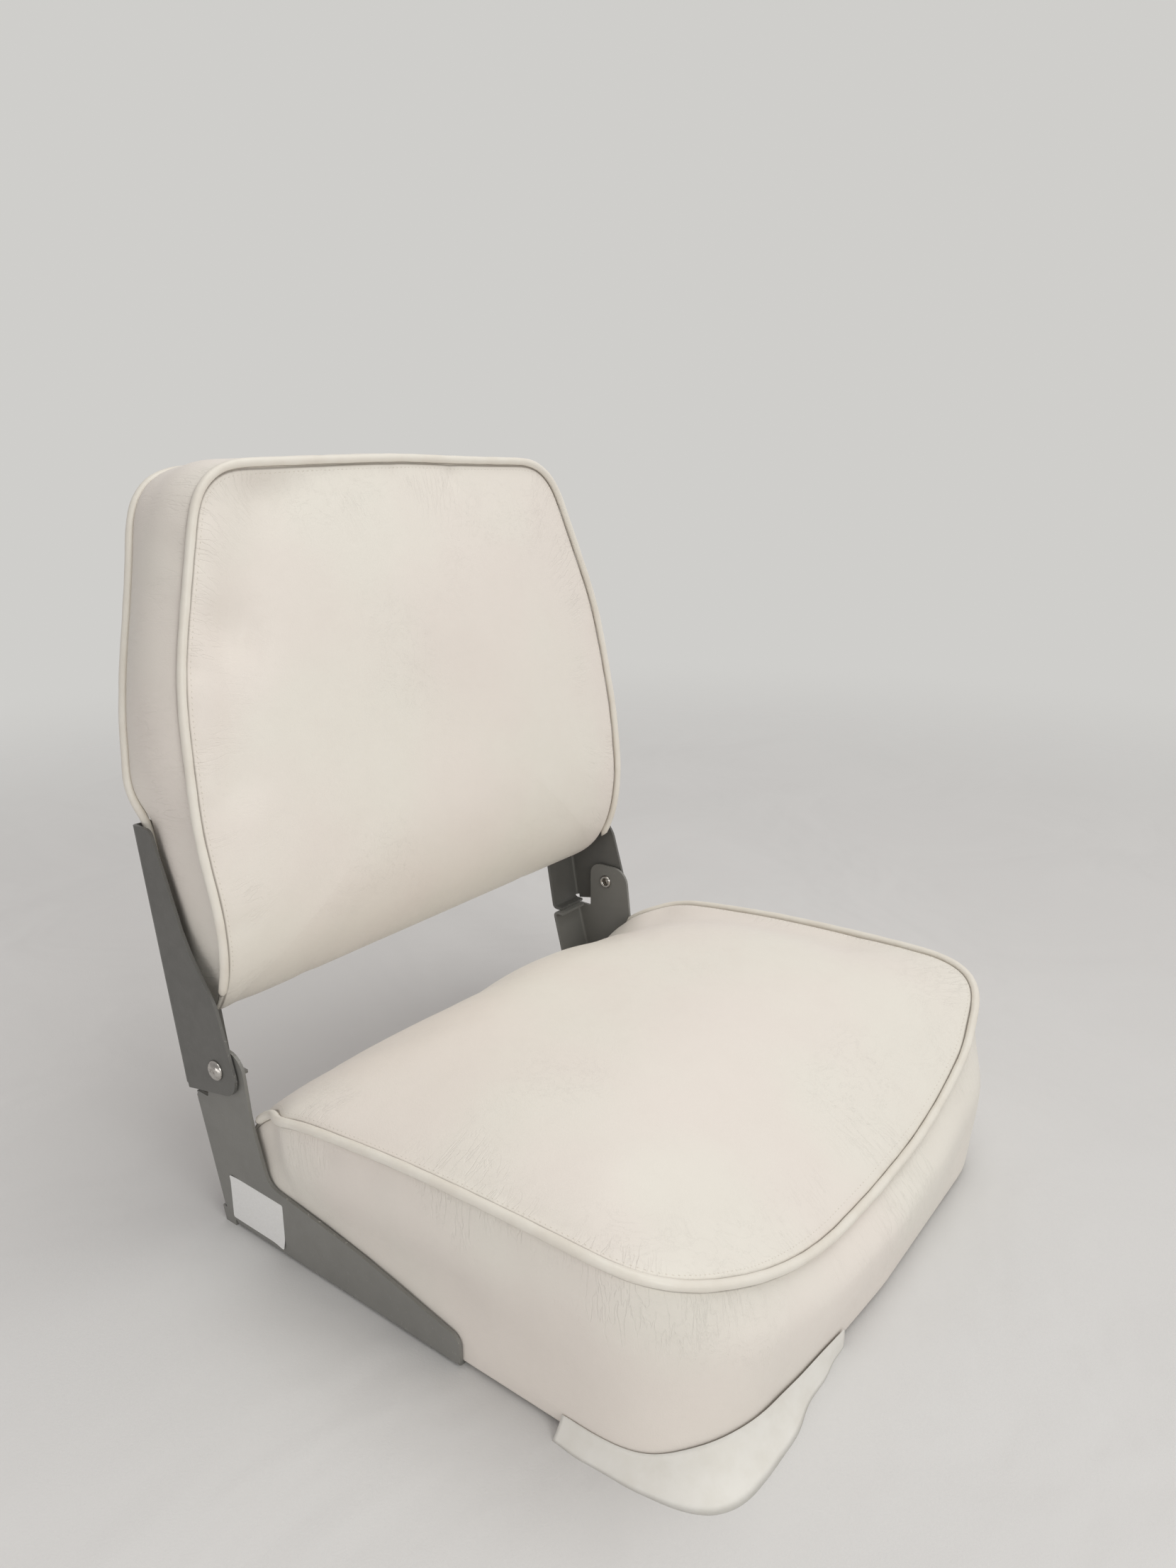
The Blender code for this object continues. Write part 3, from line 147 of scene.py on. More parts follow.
SIDE_SHARES = (0.0, 0.40, 0.72, 1.0)
SIDE_BULGE_SHARES = (0.0, 0.05, 0.80, 1.0)
FRONT_BULGE_SHARES = (0.0, 1.00, 1.00, 0.40)
CROWN_POWER = 3.2
ROLL_POWER = 2.1
SEAT_WELT_END = 0.75
BACK_WELT_END = 0.60
REAR_WELT_SHARE = 1.3

RIVET_HEAD_RADIUS = 0.0066
RIVET_HEAD_HEIGHT = 0.0032
RIVET_RADIUS = 0.0040
RIVET_ROLL_RADIUS = 0.0056
RIVET_ROLL_HEIGHT = 0.0018
RIVET_BORE_RADIUS = 0.0027
RIVET_BORE_DEPTH = 0.0050
WASHER_RADIUS = 0.0080
STOP_Z = HINGE_Z - 0.0246
LOWER_REAR_Y = 0.175
LOWER_LEAN = math.radians(14.7)
LOWER_SCREWS_Y = (0.000, 0.065, 0.130)
UPPER_SCREWS_Z = (0.182, 0.213, 0.244)
SCREW_IN = 0.0255
SCREW_RADIUS = 0.0021
SCREW_LENGTH = 0.0100
SCREW_PITCH = 0.0008
PAN_HEAD_RADIUS = 0.0042
PAN_HEAD_HEIGHT = 0.0024
FLAT_HEAD_RADIUS = 0.0041
FLAT_HEAD_HEIGHT = 0.0018
CROSS_WIDTH = 0.00055
CROSS_DEPTH = 0.0012
BOLT_SPACING = 0.127
THREAD_RADIUS = 0.0032
TEE_BARREL_RADIUS = 0.0040
TEE_BARREL_RECESS = 0.0010
TEE_FLANGE_RADIUS = 0.0095
TEE_FLANGE_THICKNESS = 0.0016
TEE_THREAD_STEPS = 38
ARM_CLEAR_Y = -0.045
LABEL_Y = 0.1407
LABEL_Z = 0.0217
LABEL_WIDTH = 0.0512
LABEL_HEIGHT = 0.0310
LABEL_ROUND = 0.0012
LABEL_THICKNESS = 0.00016
FLANGE_WIDTH = 0.034
STAPLE_START = 0.012
STAPLE_PITCH = 0.027
STAPLE_WIRE = 0.00032
STAPLE_HALF = 0.0055
STAPLE_LINE = ((-1.0, 0.0012), (-1.0, 0.0002), (-0.94, 0.0), (0.94, 0.0), (1.0, 0.0002), (1.0, 0.0012))

# Fineness of the dressed cushions
STATION_STEP = 0.0040
ARC_STEP = math.radians(3)
SIDE_ROWS = 16
PANEL_ROWS = 26
SEAM_ROWS = (0.0, 0.0012, 0.0024, 0.0036, 0.0048, 0.0062, 0.0080, 0.0105, 0.0140)
WELT_SIDES = 16
LATHE_SIDES = 48
HEM_ROWS = 9
HEM_STEP = 0.0020
LABEL_GRID = (41, 27)
TINY = 0.00001  # points this close are one, and a radius this small stands for 0

# Cloth
VOXEL = 0.0050
FRAMES = 20
SEAT_SLACK_Z = 0.12537  # crown of the seat before it is blown up
BACK_SLACK = 0.45  # share of its crown that the back has before
CLOTH = {
    "quality": 6, "mass": 0.3, "tension_stiffness": 18, "compression_stiffness": 14, "shear_stiffness": 6,
    "bending_stiffness": 0.6, "use_pressure": True, "uniform_pressure_force": 4.0, "shrink_min": -0.012,
}
EVENING = 30  # times the moves are averaged with those beside them
CAP = 0.0085  # how far the solver may move a point
SEAT_FREEDOM = 0.8  # share of the solved move that each skin takes
BACK_FREEDOM = 0.3
REACH = 0.0140  # how far the skin looks for the solved surface
HOLD_NEAR = 0.0050  # the skin is held this close to a seam
HOLD_FAR = 0.0260  # and quite free this far from it
POLE_ROWS = 19  # rows round the middle where moves turn into one for the ring
POLE_BLEND = 15
FIXED_X = 0.165  # beyond this from the middle the brackets hold a cushion's sides,
SEAT_FIXED_Y = 0.095  # the seat's behind this
BACK_FIXED_Z = 0.24  # and the back's below this
SEAT_RELAX = 8  # passes that even out each panel
BACK_RELAX = 10

# Wear: hollows and swells from one point to another, with their reach and depth
SEAT_DENTS = (
    ((-0.150, -0.125, 0.128), (-0.095, -0.155, 0.122), 0.019, 0.0055),
    ((-0.168, -0.168, 0.118), (-0.140, -0.176, 0.112), 0.011, -0.0024),
    ((-0.060, 0.000, 0.132), (0.050, 0.010, 0.132), 0.055, 0.0022),
    ((0.180, -0.060, 0.128), (0.174, 0.095, 0.118), 0.030, 0.0050),
)
BACK_DENTS = (
    ((-0.110, 0.187, 0.455), (-0.150, 0.172, 0.375), 0.024, 0.0085),
    ((-0.150, 0.172, 0.375), (-0.168, 0.160, 0.290), 0.018, 0.0050),
    ((-0.158, 0.182, 0.430), (-0.186, 0.160, 0.290), 0.012, -0.0034),
    ((0.020, 0.175, 0.370), (0.060, 0.165, 0.310), 0.060, -0.0030),
)

# Puckers: seed, count, depth and reach
SEAT_PUCKERS = (3, 46, 0.00055, 0.026)
BACK_PUCKERS = (8, 70, 0.00060, 0.030)
NEAR_PUCKERS = (21, 170, 0.00055, 0.020)
NEAR_PUCKERS_X = -0.170

# Sewing
SWELL = 0.0014  # cover beside the piping, out from the CAD's corner
WELT_OUT = 0.0026  # middle of the piping, out from the CAD's corner
CREASE = 0.0020  # how far a cover dips into its seam
CREASE_REACH = 0.0024
STITCH_PITCH = 0.0034
STITCH_LENGTH = 0.0026
STITCH_RADIUS = 0.00036
STITCH_SINK = 0.00012
STITCH_ROW = 4  # rows in from the seam
STITCH_ENDS = 3  # stations without stitches at each end

# Finishes and light
PAINT_GREYS = ((0.192, 0.190, 0.177), (0.214, 0.211, 0.197))
# Painted shade: the upper brackets get the same grey paint, darkened by this factor to stand in for the shade
# on them.
UPPER_PAINTED_SHADE = 0.60
NODE_FINISHES = {
    "lower_bracket": "paint", "upper_bracket": "upper_paint_painted_shade", "seat_pan": "plastic", "back_board": "plastic",
}
SOFT_EDGED = ("lower_bracket", "upper_bracket", "seat_pan")
WORLD_LIGHT = (1.0, 0.962, 0.945)
BACKDROP = (0.625, 0.618, 0.598)
FLOOR_FADE = (0.55, 1.9)
FLOOR_RADIUS = 4.0
LAMPS = (
    ("ceiling", (0.2, -0.3, 2.1), (0, 0.05, 0.15), (1.6, 1.2), 13.5, (0.99, 1.0, 0.965)),
    ("window", (-0.8, -2.0, 1.1), (0, 0.05, 0.15), (0.9, 0.9), 12.0, (0.985, 1.0, 0.965)),
    ("bounce", (-0.85, -0.1, 0.12), (-0.2, 0.0, 0.06), (0.9, 0.2), 0.95, (1.0, 0.98, 0.96)),
)

# Camera, at the photograph's viewpoint
CAMERA_PLACE = (-0.56189, -0.40008, 0.48597)
CAMERA_AZIMUTH = 0.91271
CAMERA_DOWN = 0.293296
CAMERA_ROLL = 0.001639
CAMERA_LENS = 26.93
SENSOR = 36.0


# Shape helpers

def smooth(value):
    held = np.clip(value, 0.0, 1.0)
    return held * held * (3 - 2 * held)


def mix(low, high, share):
    return low + (high - low) * share


def through(knots, values, x):
    """Smooth curve through a few knots."""
    knots, values = np.array(knots), np.array(values)
    slopes = np.gradient(values, knots)
    i = np.clip(np.searchsorted(knots, x) - 1, 0, len(knots) - 2)
    width = knots[i + 1] - knots[i]
    t = (x - knots[i]) / width
    start = (1 + 2 * t) * (1 - t) ** 2 * values[i] + t * (1 - t) ** 2 * width * slopes[i]
    end = t * t * (3 - 2 * t) * values[i + 1] + t * t * (t - 1) * width * slopes[i + 1]
    return start + end


def rounded(corners):
    """Closed outline through corners of (a, b, radius), each radius drawn as an arc."""
    outline = []
    for index, (a, b, radius) in enumerate(corners):
        corner = Vector((a, b))
        before = Vector(corners[index - 1][:2]) - corner
        after = Vector(corners[(index + 1) % len(corners)][:2]) - corner
        half = before.angle(after) / 2
        room = min(before.length, after.length) * 0.49
        reach = min(radius / math.tan(half), room)
        before.normalize()
        after.normalize()
        centre = corner + (before + after).normalized() * reach / math.cos(half)
        arm = corner + before * reach - centre
        turn = arm.angle_signed(corner + after * reach - centre)
        steps = max(1, math.ceil(abs(turn) / ARC_STEP))
        outline += [centre + Matrix.Rotation(-turn * k / steps, 2) @ arm for k in range(steps + 1)]
    return np.array([tuple(point) for point in outline])


def even_loop(points, step):
    """Closed line resampled at even steps."""
    closed = np.vstack([points, points[:1]])
    along = lengths_along(closed)
    wanted = np.arange(round(along[-1] / step)) * step
    return np.column_stack([np.interp(wanted, along, closed[:, k]) for k in range(points.shape[1])])


def softened(points, times):
    for _ in range(times):
        points = (np.roll(points, 1, 0) + 2 * points + np.roll(points, -1, 0)) / 4
    return points


def unit(vectors):
    return vectors / np.maximum(np.linalg.norm(vectors, axis=-1, keepdims=True), 1e-9)


def lengths_along(line):
    return np.concatenate([[0], np.cumsum(np.linalg.norm(np.diff(line, axis=0), axis=1))])


def evened(grid):
    """A grid that closes round its rows, averaged once with what lies beside."""
    over = grid.copy()
    over[1:-1] = (grid[:-2] + grid[2:]) / 2
    return grid * 0.5 + (np.roll(grid, 1, 1) + np.roll(grid, -1, 1)) / 8 + over * 0.25


def softened_open(line, times):
    for _ in range(times):
        line = np.vstack([line[:1], (line[:-2] + 2 * line[1:-1] + line[2:]) / 4, line[-1:]])
    return line


def bands(first, rings, sides, closed=False):
    """Faces between rings of points that are numbered from first, ring by ring."""
    faces = []
    for k in range(rings if closed else rings - 1):
        low, high = first + k * sides, first + (k + 1) % rings * sides
        for side in range(sides):
            beside = (side + 1) % sides
            faces.append((low + side, low + beside, high + beside, high + side))
    return faces


def capped(first, rings, sides):
    """The same with both ends closed."""
    last = first + (rings - 1) * sides
    return bands(first, rings, sides) + [tuple(range(k, k + sides)) for k in (first, last)]


def slab(outer, inner):
    """Points and faces of a sheet between two grids of points of one size."""
    rows, columns = outer.shape[:2]
    total = rows * columns
    numbers = np.arange(total).reshape(rows, columns).tolist()
    faces = []
    for low, high in zip(numbers, numbers[1:]):
        for quad in zip(low, low[1:], high[1:], high):
            faces += [quad, tuple(total + k for k in reversed(quad))]
    rim = numbers[0][:-1] + [row[-1] for row in numbers[:-1]]
    rim += numbers[-1][:0:-1] + [row[0] for row in numbers[:0:-1]]
    faces += [(b, a, total + a, total + b) for a, b in zip(rim, rim[1:] + rim[:1])]
    return np.vstack([outer.reshape(-1, 3), inner.reshape(-1, 3)]), faces


def built(name, points, faces):
    mesh = bpy.data.meshes.new(name)
    mesh.from_pydata([tuple(point) for point in points], [], faces)
    return mesh


def linked(piece):
    bpy.context.scene.collection.objects.link(piece)
    return piece


# Cushions

class Cushion:
    """A box cushion on a plan outline, in its own (a, b, h): b runs to the rolled edge, h is its depth."""

    def __init__(self, corners, roll, base, middle_b, floor, place):
        self.plan = softened(even_loop(rounded(corners), STATION_STEP), 6)
        chords = np.roll(self.plan, -1, 0) - np.roll(self.plan, 1, 0)
        self.normals = unit(np.column_stack([chords[:, 1], -chords[:, 0]]))
        if ((self.plan - self.plan.mean(0)) * self.normals).sum() < 0:
            self.normals = -self.normals
        self.roll_from, self.roll_length = roll
        self.base = base
        self.middle = np.array((0.0, middle_b))
        self.floor = floor
        self.place = place
        self.full = softened(self.seam_height(self.plan), 10) + SWELL
        self.holds = self.hold(self.plan[:, 1])
        self.seams = mix(base, self.full, self.holds)
        self.edges = np.minimum(self.edge(self.normals), self.seams - base)
        self.ellipse = np.abs(self.plan - self.middle).max(0)

    def edge(self, normals):
        """Radius of the round between the side and the hidden face."""
        return np.zeros(len(normals))

    def hold(self, b):
        """Share of its full height that the cushion keeps at b, down to 0 at the rolled edge."""
        way = np.clip((b - self.roll_from) / self.roll_length, 0.0, 1.0)
        return (1 - way ** ROLL_POWER) ** (1 / ROLL_POWER)

    def kept(self, plan, way):
        """The same share over the panel, part of the way from the seam to the middle."""
        return self.hold(plan[:, 1])

    def rise(self, plan):
        """Power of the crown: how steeply the panel rises from its seam."""
        return CROWN_POWER

    def side(self, share):
        """Row of points at a share of the way up the side."""
        height = mix(self.base + self.edges, self.seams, share)
        out = (self.bulge(self.plan, self.normals, share) + SWELL * self.swollen(share)) * self.holds
        return np.column_stack([self.plan + self.normals * out[:, None], height])

    def swollen(self, share):
        """How far the side stands out beside the piping, as a share of the swell."""
        return smooth((share - 0.5) / 0.5)

    def panel(self, crown):
        """Rows of points over the crowned panel, from the seam towards the middle."""
        start = self.side(1.0)[:, :2]
        far = start - self.normals * SEAM_ROWS[-1]
        arms = far - self.middle
        reach = np.linalg.norm(arms, axis=1)
        toward = unit(arms)
        oval = 1 / np.linalg.norm(toward / (self.ellipse - SEAM_ROWS[-1]), axis=1)
        length = reach + SEAM_ROWS[-1]
        rows = [(start - self.normals * step, step / length) for step in SEAM_ROWS]
        for share in np.linspace(0, 1, PANEL_ROWS + 1)[1:-1]:
            ring = mix(reach, oval, smooth(share / 0.7)) * (1 - share)
            way = mix(SEAM_ROWS[-1] / length, 1.0, share)
            rows.append((self.middle + toward * ring[:, None], way))
        lifted = []
        for plan, way in rows:
            crowned = mix(self.full, crown, 1 - (1 - way) ** self.rise(plan))
            height = mix(self.base, crowned, self.kept(plan, way))
            lifted.append(np.column_stack([plan, height]))
        return lifted

    def ring(self, inset, level):
        """The outline set in from the plan, at one level."""
        inset = np.broadcast_to(inset, len(self.plan))
        return np.column_stack([self.plan - self.normals * inset[:, None], np.full(len(self.plan), level)])

    def skin(self, crown):
        """The cushion up to a crown as a Skin, and the number of the first row above its hidden side."""
        hidden = self.hidden()
        sides = [self.side(share) for share in np.linspace(0, 1, SIDE_ROWS)]
        rows = [self.place(row) for row in hidden + sides + self.panel(crown)[1:]]
        start, end = self.place(np.array([[*self.middle, self.floor], [*self.middle, crown]]))
        return Skin(np.array(rows), start, end, len(hidden) + SIDE_ROWS - 1), len(hidden)

    def sewn(self, end):
        """Stations of the seam that carry piping, in order from one end of the rolled edge to the other."""
        tall = self.holds > end
        start = next(i for i in range(len(tall)) if tall[i] and not tall[i - 1])
        run = (start + np.arange(len(tall))) % len(tall)
        return run[tall[run]]


class Skin:
    """A grid of points over a closed form: rows from one pole to the other, stations round it."""

    def __init__(self, rows, start, end, seam_row):
        self.rows = rows
        self.start = start
        self.end = end
        self.seam_row = seam_row
        self.heart = rows.reshape(-1, 3).mean(0)

    def seam(self):
        return self.rows[self.seam_row]

    def normals(self):
        along = np.roll(self.rows, -1, 1) - np.roll(self.rows, 1, 1)
        across = np.gradient(self.rows, axis=0)
        facing = unit(np.cross(along, across))
        outward = np.sign((facing * (self.rows - self.heart)).sum(-1))
        turn = 1.0 if outward[self.seam_row:].sum() > 0 else -1.0
        return facing * turn

    def across(self):
        """Distance of each point from the seam along its own line, less than 0 below it."""
        steps = np.linalg.norm(np.diff(self.rows, axis=0), axis=2)
        total = np.concatenate([np.zeros((1, steps.shape[1])), np.cumsum(steps, axis=0)])
        return total - total[self.seam_row]

    def along(self):
        """Distance round the seam of each station, and the length of the whole seam."""
        seam = self.seam()
        closed = lengths_along(np.vstack([seam, seam[:1]]))
        return closed[:-1], closed[-1]

    def mesh(self, name):
        """Mesh with UVs in metres: along the seam, and across it."""
        depth, count = self.rows.shape[:2]
        along, total = self.along()
        ends = np.append(along, total)
        across = self.across()

        def corner(row, station):
            k = station % count
            return row * count + k, (ends[station], across[row, k])

        start = depth * count, (total / 2, across[0].min())
        end = depth * count + 1, (total / 2, across[-1].max())
        top = depth - 1
        corners = [(corner(row, k), corner(row, k + 1), corner(row + 1, k + 1), corner(row + 1, k))
                   for row in range(top) for k in range(count)]
        corners += [(corner(0, k + 1), corner(0, k), start) for k in range(count)]
        corners += [(corner(top, k), corner(top, k + 1), end) for k in range(count)]
        points = np.vstack([self.rows.reshape(-1, 3), self.start, self.end])
        mesh = built(name, points, [[number for number, _ in face] for face in corners])
        layer = mesh.uv_layers.new(name="sewing")
        layer.data.foreach_set("uv", np.array([uv for face in corners for _, uv in face]).ravel())
        return mesh


def shown(mesh, finish, body, join=True, sharp=None):
    """Object for a mesh, smooth but for edges sharper than a number of degrees, riding on a body."""
    bm = bmesh.new()
    bm.from_mesh(mesh)
    if join:
        bmesh.ops.remove_doubles(bm, verts=bm.verts, dist=TINY)
        bmesh.ops.dissolve_degenerate(bm, dist=TINY, edges=bm.edges)
    bmesh.ops.recalc_face_normals(bm, faces=bm.faces)
    bm.to_mesh(mesh)
    bm.free()
    mesh.shade_smooth()
    if sharp is not None:
        mesh.set_sharp_from_angle(angle=math.radians(sharp))
    mesh.materials.append(finish)
    piece = linked(bpy.data.objects.new(mesh.name, mesh))
    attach(piece, body)
    return piece


def solved(name, skin, held_lines):
    """The skin remeshed evenly, held along lines and blown up by the cloth solver, as a search tree."""
    shell = linked(bpy.data.objects.new(name, skin.mesh(name)))
    remesh = shell.modifiers.new("remesh", "REMESH")
    remesh.mode = "VOXEL"
    remesh.voxel_size = VOXEL
    graph = bpy.context.evaluated_depsgraph_get()
    even = bpy.data.meshes.new_from_object(shell.evaluated_get(graph))
    bpy.data.objects.remove(shell)
    cloth_object = linked(bpy.data.objects.new(name, even))

    near = KDTree(sum(len(line) for line in held_lines))
    for number, point in enumerate(np.vstack(held_lines)):
        near.insert(point, number)
    near.balance()
    held = cloth_object.vertex_groups.new(name="held")
    for vertex in even.vertices:
        away = near.find(vertex.co)[2]
        weight = 1 - float(smooth((away - VOXEL) / (2 * VOXEL)))
        if weight > 0:
            held.add([vertex.index], weight, "REPLACE")

    cloth = cloth_object.modifiers.new("cloth", "CLOTH")
    settings = cloth.settings
    for key, value in CLOTH.items():
        setattr(settings, key, value)
    settings.vertex_group_mass = "held"
    settings.effector_weights.gravity = 0
    cloth.collision_settings.use_collision = False
    scene = bpy.context.scene
    for frame in range(1, FRAMES + 1):
        scene.frame_set(frame)
    graph = bpy.context.evaluated_depsgraph_get()
    blown = bpy.data.meshes.new_from_object(cloth_object.evaluated_get(graph))
    scene.frame_set(1)
    bm = bmesh.new()
    bm.from_mesh(blown)
    tree = BVHTree.FromBMesh(bm)
    bm.free()
    bpy.data.objects.remove(cloth_object)
    return tree


def laid_on(skin, tree, freedom):
    """Move the skin's points along their normals onto the solved surface, as far as each is free."""
    facing = skin.normals()
    moves = np.zeros(freedom.shape)
    for row, station in np.argwhere(freedom > 0.001):
        normal = Vector(facing[row, station])
        origin = Vector(skin.rows[row, station]) - normal * REACH
        hit = tree.ray_cast(origin, normal, 2 * REACH)
        if hit[0] is not None:
            moves[row, station] = hit[3] - REACH
    moves = np.clip(moves, -CAP, CAP)
    for _ in range(EVENING):
        moves = evened(moves)
    rings = np.arange(len(moves))[:, None]
    one = smooth((rings - (len(moves) - POLE_ROWS)) / POLE_BLEND)
    moves = mix(moves, moves.mean(1, keepdims=True), one)
    skin.rows = skin.rows + facing * (moves * freedom)[:, :, None]
    skin.end = skin.rows[-1].mean(0)


def creased(skin, rows, depth):
    """Draw the skin into its seams."""
    facing = skin.normals()
    for row in rows:
        steps = np.linalg.norm(skin.rows - skin.rows[row], axis=2)
        near = np.abs(np.arange(len(skin.rows)) - row)[:, None] <= len(SEAM_ROWS)
        dip = depth * np.exp(-(steps / CREASE_REACH) ** 2) * near
        inward = facing[row] + facing[min(row + 2, len(facing) - 1)]
        skin.rows = skin.rows - unit(inward)[None] * dip[:, :, None]


def puckered(skin, seed, count, depth, reach, where=None):
    """Short creases across the panel and the boxing, running off from the seam."""
    chance = np.random.default_rng(seed)
    along, total = skin.along()
    across = skin.across()
    facing = skin.normals()
    dip = np.zeros(across.shape)
    for _ in range(count):
        at = chance.uniform(0, total)
        side = chance.choice((-1, 1))
        width = chance.uniform(0.0045, 0.0090)
        long = reach * chance.uniform(0.45, 1.3)
        slant = chance.uniform(-0.45, 0.45)
        deep = depth * chance.uniform(0.3, 1.0)
        away = across * side
        gap = (along[None] - at - slant * away + total / 2) % total - total / 2
        fade = smooth(away / 0.006) * (1 - smooth((away - long / 3) / long))
        dip += deep * np.exp(-(gap / width) ** 2) * np.where(away > 0, fade, 0)
    if where is not None:
        dip *= where
    skin.rows = skin.rows - facing * dip[:, :, None]


def relaxed(skin, times):
    """Even out the panel beyond its seam rows."""
    first = skin.seam_row + len(SEAM_ROWS) - 1
    for _ in range(times):
        skin.rows = np.concatenate([skin.rows[:first], evened(skin.rows)[first:]])
    skin.end = skin.rows[-1].mean(0)


def dented(skin, dents):
    """Soft hollows, and swells where the depth is less than 0: from and to points, reach and depth."""
    facing = skin.normals()
    dip = np.zeros(skin.rows.shape[:2])
    for start, end, reach, depth in dents:
        start, run = np.array(start), np.array(end) - np.array(start)
        share = np.clip(((skin.rows - start) @ run) / max(run @ run, 1e-9), 0.0, 1.0)
        away = np.linalg.norm(skin.rows - start - share[:, :, None] * run, axis=2)
        dip += depth * np.exp(-(away / reach) ** 2)
    free = smooth(np.abs(skin.across()) / 0.016)
    skin.rows = skin.rows - facing * (dip * free)[:, :, None]
    skin.end = skin.rows[-1].mean(0)


def tube(name, line, outward, finish, body):
    """Round piping along a line, slightly uneven, as a sewn cord cover is."""
    tangents = unit(np.gradient(line, axis=0))
    out = unit(outward - (outward * tangents).sum(1)[:, None] * tangents)
    over = np.cross(tangents, out)
    along = lengths_along(line)
    thick = WELT_RADIUS * (1 + 0.020 * np.sin(along * 310) + 0.015 * np.sin(along * 173 + 1.1))
    tip = np.minimum(along, along[-1] - along) / WELT_RADIUS
    thick = thick * np.sqrt(np.clip(tip, 0.05, 1.0))
    turns = np.linspace(0, math.tau, WELT_SIDES, endpoint=False)[None, :, None]
    around = out[:, None] * np.cos(turns) + over[:, None] * np.sin(turns)
    points = (line[:, None] + thick[:, None, None] * around).reshape(-1, 3)
    return shown(built(name, points, capped(0, len(line), WELT_SIDES)), finish, body)


def stitches(name, skin, stations, finish, body):
    """Thread stitches on a row of the skin, each a small capsule half sunk in the vinyl."""
    low = skin.seam_row + STITCH_ROW
    line = (skin.rows[low] + skin.rows[low + 1])[stations] / 2
    facing = skin.normals()[low][stations]
    inward = unit(skin.rows[low + 1] - skin.rows[low])[stations]
    along = lengths_along(line)
    chance = np.random.default_rng(11)
    points, faces = [], []
    for at in np.arange(STITCH_PITCH, along[-1] - STITCH_PITCH, STITCH_PITCH):
        centre = np.array([np.interp(at, along, line[:, k]) for k in range(3)])
        k = min(int(np.searchsorted(along, at)), len(line) - 1)
        forward = unit(line[k] - line[k - 1])
        forward = unit(forward + inward[k] * chance.uniform(0.10, 0.22))
        up = facing[k]
        aside = np.cross(forward, up)
        faces += capped(len(points), 5, 6)
        for share, thin in ((-1.0, 0.25), (-0.72, 0.85), (0.0, 1.0), (0.72, 0.85), (1.0, 0.25)):
            sunk = STITCH_SINK + STITCH_RADIUS * 1.1 * share * share
            middle = centre + forward * share * STITCH_LENGTH / 2 - up * sunk
            for angle in np.arange(6) * math.pi / 3:
                turned = up * math.cos(angle) + aside * math.sin(angle)
                points.append(middle + STITCH_RADIUS * thin * turned)
    return shown(built(name, points, faces), finish, body, join=False)


def freedom_of(skin, first_row, fixed):
    """How free each point is to follow the cloth: not at a seam, under the base or where it is fixed."""
    free = smooth((np.abs(skin.across()) - HOLD_NEAR) / (HOLD_FAR - HOLD_NEAR))
    free[:first_row] = 0
    rise = np.arange(len(skin.rows)) - first_row
    free *= smooth(rise / 6.0)[:, None]
    return free * (1 - fixed)


def beside_brackets(skin):
    """1 where a skin lies out beside the brackets, from side to side."""
    return smooth((np.abs(skin.rows[:, :, 0]) - FIXED_X) / 0.02)


# Seat

